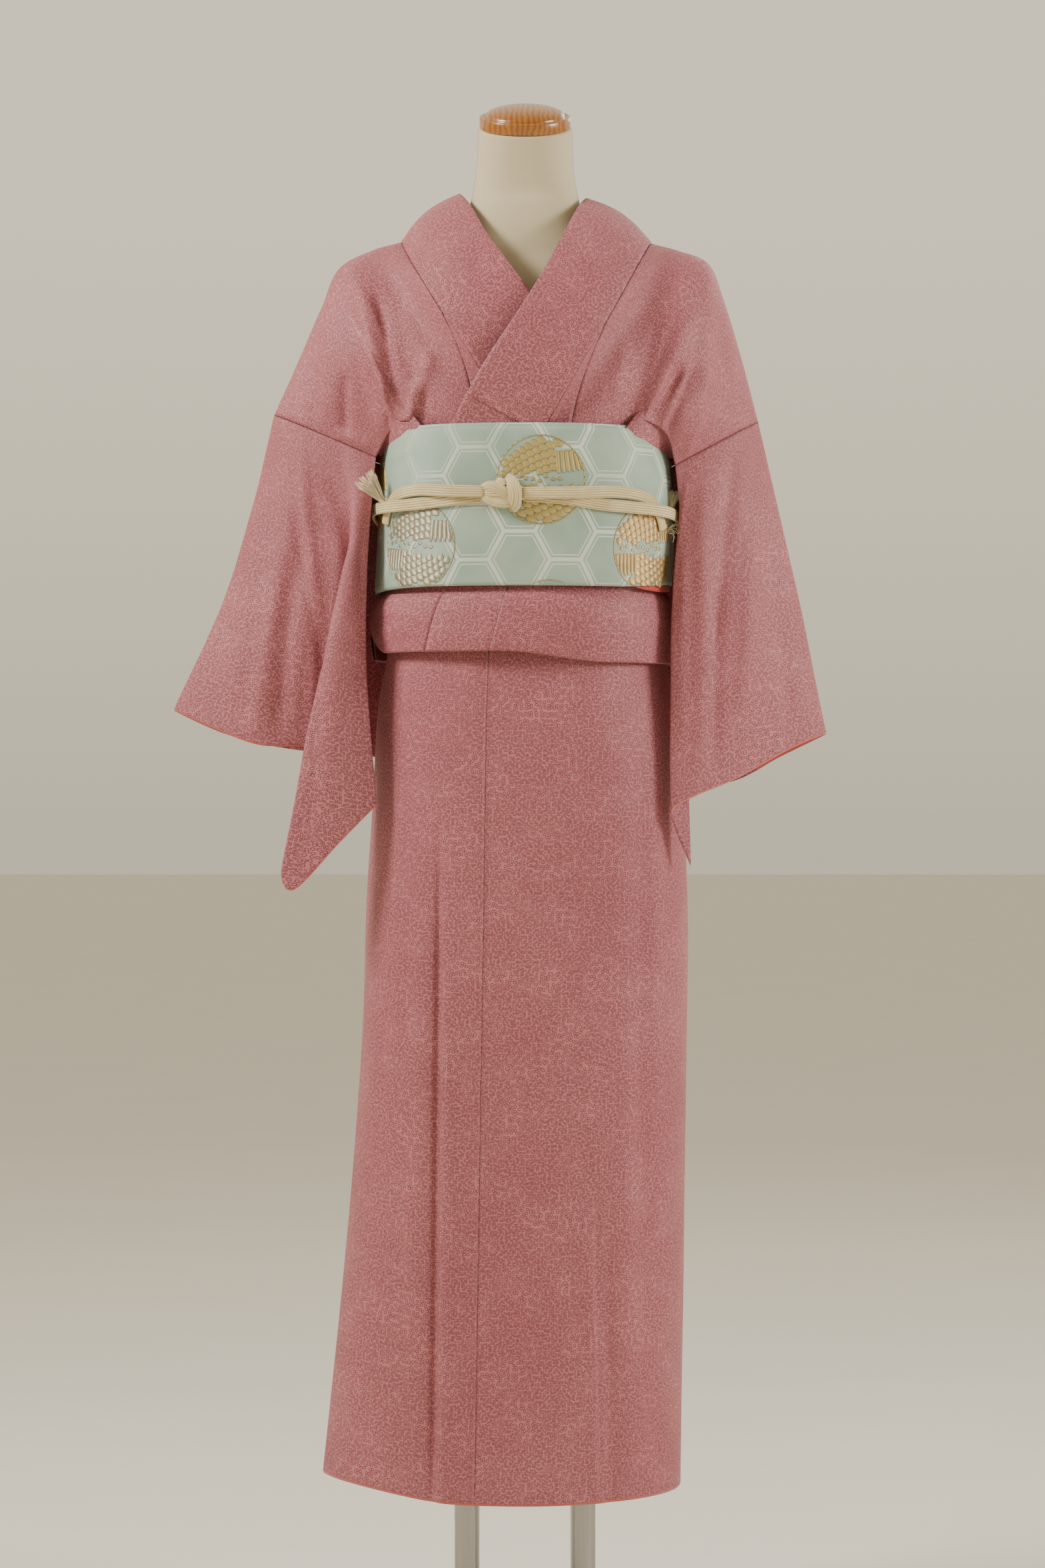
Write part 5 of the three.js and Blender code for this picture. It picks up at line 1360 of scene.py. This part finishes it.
def bodice_point(side, u, v):
    u, v = np.asarray(u, float), np.asarray(v, float)
    stations = [bodice_edge(side, v)] + [bodice_station(row, v)
                                         for row in BODICE[side]] + [seam_point(side, v)]
    point = through(np.array(stations), u)
    fade = smooth(0, 0.12, u) * smooth(0, 0.1, 1 - u)
    out = creases(BODICE_CREASES[side], point[:, 0], point[:, 2]) * fade * smooth(0, 0.1, -v)
    return point - np.stack([np.zeros(out.shape), out, np.zeros(out.shape)], -1)


def tip_share(v):
    return TIP_SHARE * np.clip((TIP_START - v) / (1 + TIP_START), 0, 1)


def build_bodice(side, offset):
    share_gap, end_u = 0.0018, 1 - 0.001

    def at(u, v):
        share = tip_share(v)
        return bodice_point(side, mix(np.where(share > 0, share + share_gap, 0), end_u, u), v)

    def normal_of(u, v, found):
        found = np.where((u == 1)[:, None], seam_normal(side, v), found)
        edge = (u == 0) & (v <= NECKLINE) & (tip_share(v) < 0.02)
        beside = -collar_normal(beside_collar(side, np.minimum(v, NECKLINE)), np.ones(v.shape))
        return np.where(edge[:, None], beside, found)

    rows = np.concatenate([np.linspace(-1, 0, 90), np.linspace(0, NECKLINE, 36)[1:],
                           np.linspace(NECKLINE, 1, 46)[1:]])
    relief = fold_relief(BODICE_FINE[side], BODICE_BACK[side], 0.5, 44.0, 2.0 if side == "right" else 6.0)
    inward = [-0.3 if side == "left" else 0.3, 0, -1]
    piece = shell(f"bodice_{side}_cloth", at, np.linspace(0, 1, 76), rows, CLOTH, inward, KIMONO,
                  (0.4, 0), normal_of,
                  relief, stands_for=[f"bodice_{side}"], offset=offset)

    def tip(u, v):
        return bodice_point(side, u * tip_share(v), v)

    rows = np.linspace(-1, TIP_START - 0.012, 50)
    piece = shell(f"overlap_tip_{side}_cloth", tip, np.linspace(0, 1, 9), rows, CLOTH, [0, 1, 0], KIMONO,
                  stands_for=[f"overlap_tip_{side}"], offset=(offset[0] + 77, offset[1] + 400))


def build_waist():
    """The body's cloth goes on down behind the sash, where the gaps at the sash's upper corners show it."""
    for side, sign in (("right", -1), ("left", 1)):
        for half, turn, back in (("front", (38, 86), False), ("back", (142, 94), True)):
            def at(u, v, side=side, sign=sign, turn=turn, back=back):
                low = on_sash(sign * mix(*turn, u), mix(1180, 1200, v), -5.5)
                where = mix(0.52, 0.985, u)
                high = bodice_point(side, where, np.full(u.shape, 0.93 if back else -0.93))
                high = high * np.array([0.985, 0.955, 1.0])
                return mix(low, high, smooth(0, 1, v)[:, None])

            shell(f"waist_{half}_{side}", at, np.linspace(0, 1, 40), np.linspace(0, 1, 24), 1.0,
                  [-sign, 0, 0],
                  [SILK, SILK], offset=(60, 3000))


# Cord

CORD_WIDE = 11.6
CORD_THICK = 4.2
CORDS = {  # angle round the sash, height, and the layer: 0 on the sash, 1 over another strand
    "cord_main": [
        (-1, 1142.6, 0), (8, 1142, 0), (20, 1139.6, 0), (32, 1135.3, 0.05), (43, 1133.5, 0.5),
        (53, 1132.3, 1.1),
        (63, 1131, 1.1), (73, 1129, 0.7), (90, 1125, 0.05), (125, 1122, 0), (180, 1123, 0), (235, 1125, 0),
        (262, 1130, 0.05), (277, 1133.5, 0.6), (288, 1135.3, 1.1), (299, 1136, 1.1), (308, 1136.4, 0.4),
        (318, 1137.6, 0), (329, 1140, 0), (342.8, 1143, 0),
    ],
    "cord_end_left": [
        (-1, 1145, 1.05), (10, 1145.5, 1.05), (20.5, 1145.8, 1.05), (30, 1147, 0.6), (38, 1147.8, 0.05),
        (46.5, 1146.5, 0), (53, 1143, 0), (58, 1135, 0), (61, 1124, 0), (62.5, 1114, 0),
    ],
    "cord_end_right": [
        (-17.2, 1146.6, 1.05), (-29.6, 1147.8, 1.05), (-38, 1149.4, 0.95), (-44.5, 1150.6, 0.25),
        (-50.5, 1150, 0),
        (-56, 1147.6, 0), (-60.5, 1142, 0), (-64, 1132, 0), (-65.5, 1120, 0),
    ],
}


def ribbed_outline(wide, thick, ridges, count=80):
    """A flat band with rounded edges and ridges along both faces."""
    points = []
    for k in range(count):
        a = 2 * math.pi * k / count
        c, s = math.cos(a), math.sin(a)
        x = wide / 2 * math.copysign(abs(c) ** 0.8, c)
        y = thick / 2 * math.copysign(abs(s) ** 0.55, s)
        rise = abs(math.sin(math.pi * ridges * (x / wide + 0.5))) ** 0.7
        points.append((x, y * (0.7 + 0.3 * rise)))
    return np.array(points)


def band_mesh(name, line, up, out, outline, taper, stands_for=()):
    """A braided band along line, with its width along up and its thickness along out at every step."""
    along = np.concatenate([[0], np.cumsum(np.linalg.norm(np.diff(line, axis=0), axis=1))])
    wide, thick = outline.T[:, None, :, None]
    rings = line[:, None] + (up[:, None] * wide + out[:, None] * thick) * taper[:, None, None]
    flat = [np.tile(outline[:, 0] + outline[:, 0].max(), len(line)), np.repeat(along, len(outline))]
    sweep(name, rings, [BRAID], stands_for=stands_for, uv=np.stack(flat, -1))


def cord_point(rows, t):
    angle, z, layer = through(np.array(rows, float), t).T
    lift = LAYER + 0.25 + CORD_THICK * 0.42 + layer * (CORD_THICK + LAYER)
    return on_sash(angle, z, lift)


def build_cords():
    outline = ribbed_outline(CORD_WIDE, CORD_THICK * 0.84, 5)
    for name, rows in CORDS.items():
        turns = abs(rows[-1][0] - rows[0][0])
        t = np.linspace(0, 1, int(turns * 1.3) + 40)
        line = cord_point(rows, t)
        along = unit(cord_point(rows, t + 1e-3) - cord_point(rows, t - 1e-3))
        out = unit(line * np.array([1, 1.35, 0]))
        up = unit(np.cross(along, out))
        out = unit(np.cross(up, along))
        taper = np.minimum(1, 0.75 + 0.25 * smooth(0, 0.012, t) * smooth(0, 0.012, 1 - t))
        band_mesh(name + "_braid", line, up, out, outline, taper, [name])


KNOT_ANGLE = -9.1
KNOT_HEIGHT = 1144.6
KNOT_ROWS = [  # along, low, high, depth of the frame's own lump
    (-16.6, -9, 8, 9.4), (-15, -10.5, 9.4, 10.4), (-9, -13, 12.2, 12), (-2, -14.3, 14, 13),
    (3, -14, 14, 14.2),
    (8, -12.6, 13, 14), (13, -10, 10.2, 12.2), (16.6, -8.4, 7.4, 9.6),
]
KNOT_BANDS = {  # each strand of the knot: across, up and out from the sash, then its width and ridges
    "knot_core": ([(-20, 1.6, 5.4), (-12, 0.6, 7.0), (0, 0, 7.2), (12, 1, 7.0), (20, 0, 5.4)], 15.0, 5),
    "knot_lobe_upper": ([(-20, 4.6, 6.0), (-13, 7.2, 8.2), (-6, 5.4, 9.8), (1, 1.0, 10.4), (7, -4.6, 8.4),
                         (11, -9, 5)],
                        11.0, 4),
    "knot_lobe_lower": ([(-19.5, -2.5, 5.6), (-12, -6.8, 7.8), (-5, -9.2, 9.0), (3, -9.6, 8.4),
                         (9, -9, 5.5)], 8.6, 3),
    "knot_band_right": ([(6.5, -14.2, 3.5), (9.2, -11.5, 8.0), (10.6, -5, 11.6), (10.4, 2, 12.4),
                         (8.4, 8.6, 10.4),
                         (5.2, 12.8, 7.0), (1.6, 14.4, 3.2)], 13.6, 4),
    "knot_tuck_left": ([(-6.5, 13, 3.4), (-3.4, 11.6, 7.2), (0.6, 7.2, 9.0)], 8.0, 3),
}


def build_knot():
    per_degree = 2.17

    def place(points):
        angle = KNOT_ANGLE + points[..., 0] / per_degree
        return on_sash(angle, KNOT_HEIGHT + points[..., 1], points[..., 2])

    # the lump underneath fills what the strands leave open
    steps, around = 30, 22
    along, low, high, deep = through(np.array(KNOT_ROWS, float), np.linspace(0, 1, steps)).T[:, :, None]
    a = np.linspace(0, math.pi, around)
    z = mix(low, high, (1 - np.cos(a)) / 2) * 0.86
    lift = LAYER + 0.2 + deep * 0.52 * np.sin(a) ** 0.8
    lump = place(np.stack(np.broadcast_arrays(along * 0.9, z, lift), -1))
    flat = [np.tile(np.linspace(-8, 8, around), steps), np.repeat(np.linspace(0, 33, steps), around)]
    sweep("cord_knot_core", lump, [BRAID], stands_for=["cord_knot"], uv=np.stack(flat, -1))
    for name, (path, wide, ridges) in KNOT_BANDS.items():
        t = np.linspace(0, 1, 46)
        local = through(np.array(path, float), t)
        line, above = place(local), place(local + np.array([0, 0, 1.0]))
        along = unit(np.gradient(line, axis=0))
        up = unit(np.cross(along, unit(above - line)))
        bulge = unit(np.cross(up, along))
        outline = ribbed_outline(wide, 4.4, ridges)
        outline[:, 1] -= 1.5 * (outline[:, 0] / (wide / 2)) ** 2
        band_mesh(name, line, up, bulge, outline, 0.72 + 0.28 * np.sin(np.pi * t) ** 0.5)


TASSELS = {  # root, tip, half width of the fan, number of threads
    "right": {"root": (-139.9, -68.4, 1142.4), "tip": (-160, -72, 1168), "spread": 9.5, "threads": 150},
    "left": {"root": (145.3, -45, 1140.4), "tip": (147.6, -47, 1156), "spread": 5.0, "threads": 90},
}


def build_tassels():
    draw = random.Random(7)
    for side, row in TASSELS.items():
        root, tip = np.array(row["root"]), np.array(row["tip"])
        axis = unit(tip - root)
        across = unit(np.cross(axis, [0.0, 1.0, 0.0]))
        deep = np.cross(across, axis)
        reach = np.linalg.norm(tip - root)
        points, faces = [], []
        for _ in range(row["threads"]):
            a = draw.uniform(-1, 1)
            b = draw.uniform(-1, 1)
            start = root + across * a * 2.0 + deep * b * 1.3 - axis * 2
            aside = a * row["spread"] + draw.uniform(-1.2, 1.2)
            fan = across * aside + deep * (b * 2.4 + draw.uniform(-0.5, 0.5))
            long = reach * draw.uniform(0.72, 1.05)
            bend = across * draw.uniform(-1.4, 1.4) + deep * draw.uniform(-0.8, 0.8)
            path = [start + axis * long * f + fan * f**1.4 + bend * math.sin(math.pi * f)
                    for f in np.linspace(0, 1, 6)]
            faces += tube_faces(6, 4, first=len(points))
            for k, p in enumerate(path):
                thin = 0.30 - 0.10 * k / 5
                for corner in range(4):
                    turn = math.pi / 2 * corner
                    points.append(p + (across * math.cos(turn) + deep * math.sin(turn)) * thin)
        make_mesh(f"tassel_{side}_threads", points, faces, [TASSEL_SILK], None, None,
                  [f"tassel_{side}"])
        head, count = [], 20
        for h, wide, thick in ((-3.2, 2.4, 1.6), (-1.5, 3.2, 2.1), (0.5, 3.3, 2.2), (2.0, 2.7, 1.8),
                               (3.0, 2.4, 1.6)):
            for k in range(count):
                a = 2 * math.pi * k / count
                head.append(root + axis * h + across * math.cos(a) * wide + deep * math.sin(a) * thick)
        head = np.array(head).reshape(5, count, 3)
        flat = np.stack([np.tile(np.linspace(-3, 3, count), 5), np.repeat(np.arange(5.0), count)], -1)
        sweep(f"tassel_{side}_binding", head, [BRAID], uv=flat)


def build_reverse():
    """The red reverse of the under turn shows as a sliver below the sash's edge."""
    def at(u, v):
        drop = 3.4 * np.sin(np.pi * np.clip(u, 0, 1)) ** 0.6
        return on_sash(mix(50, 79, u), mix(OBI_LOW + 4, OBI_LOW - drop, v), -1.6)

    shell("sash_reverse", at, np.linspace(0, 1, 60), np.linspace(0, 1, 5), 0.5, [0, 1, 0],
          [SASH_BACK, SASH_BACK])


def build_stray_threads():
    """A few loose threads of the second tassel, behind the cord at the wearer's left."""
    draw = random.Random(11)
    turn = np.linspace(0, 2 * math.pi, 5)[:-1]
    outline = 0.16 * np.stack([np.cos(turn), 0 * turn, np.sin(turn)], -1)
    root = np.array([141.0, -62.0, 1116.0])
    for k in range(9):
        aim = np.array([draw.uniform(3, 15), draw.uniform(-6, 1), draw.uniform(-16, 5)])
        bend = np.array([draw.uniform(-3, 4), -1.0, draw.uniform(-4, 4)])
        path = np.array([root + aim * f + bend * math.sin(math.pi * f) for f in np.linspace(0, 1, 8)])
        sweep(f"stray_thread_{k}", path[:, None] + outline, [TASSEL_SILK])


# Stage, camera and light


def build_stage():
    floor = Surface("floor", 0.9)
    cloud = floor.noise(floor.place(), 3.0, 4.0)
    material = floor.finish(floor.blend(cloud, colour(236, 231, 219), colour(241, 237, 227)))
    mesh = bpy.data.meshes.new("floor")
    reach = 30.0
    corners = [(-reach, -reach, 0), (reach, -reach, 0), (reach, reach, 0), (-reach, reach, 0)]
    mesh.from_pydata(corners, [], [(0, 1, 2, 3)])
    mesh.materials.append(material)
    ground = bpy.data.objects.new("floor", mesh)
    bpy.context.scene.collection.objects.link(ground)


def build_world():
    """A plain sky, brighter behind the kimono and duller towards the floor."""
    world = bpy.data.worlds.new("pale")
    bpy.context.scene.world = world
    world.use_nodes = True
    s = Nodes(world.node_tree)
    background = next(n for n in s.tree.nodes if n.type == "BACKGROUND")
    direction = s.add("TexCoord", {}, 0)
    shade = s.span(s.part(direction, "Y"), -0.3, 0.7, 0.5, 1.25)
    haze = s.span(s.part(direction, "Z"), -0.02, 0.16, 0.68, 1.0)
    s.set(background, "Color", colour(231, 220, 194))
    s.set(background, "Strength", s.math("MAXIMUM", shade * haze, 0.6))


def add_light(name, place, aim, power, size, tint):
    data = bpy.data.lights.new(name, "AREA")
    data.energy, data.size, data.color = power, size, tint
    light = bpy.data.objects.new(name, data)
    bpy.context.scene.collection.objects.link(light)
    light.location = place
    away = np.array(aim, float) - np.array(place, float)
    yaw = math.atan2(away[1], away[0]) - math.pi / 2
    pitch = math.atan2(away[2], math.hypot(away[0], away[1])) + math.pi / 2
    light.rotation_euler = (pitch, 0, yaw)


SENSOR = 36.0
FOCAL_PIXELS, TALL_PIXELS = 5250, 2352


def build_camera():
    data = bpy.data.cameras.new("camera")
    data.sensor_width = SENSOR
    data.lens = SENSOR * FOCAL_PIXELS / TALL_PIXELS
    camera = bpy.data.objects.new("camera", data)
    bpy.context.scene.collection.objects.link(camera)
    camera.location = (-0.0025, -3.5, 0.865)
    camera.rotation_euler = (math.pi / 2, 0, 0)
    bpy.context.scene.camera = camera


build_camera()
build_form()
build_cap()
build_stand()
build_skirt()
build_tuck()
build_sash()
build_bow()
build_roundels()
build_collar()
build_sleeve("right")
build_sleeve("left")
build_bodice("right", (10, 2000))
build_bodice("left", (800, 2400))
build_waist()
build_cords()
build_knot()
build_tassels()
build_reverse()
build_stray_threads()
build_stage()
build_world()
add_light("key", (-1.8, -0.8, 2.4), (0, 0, 1.35), 63, 0.6, (1.0, 0.96, 0.9))
add_light("fill", (2.1, -0.7, 1.7), (0.1, 0, 1.1), 43, 0.8, (1.0, 0.97, 0.92))
add_light("rim", (1.6, 2.6, 2.8), (0, 0, 1.0), 16, 1.4, (1.0, 1.0, 1.0))
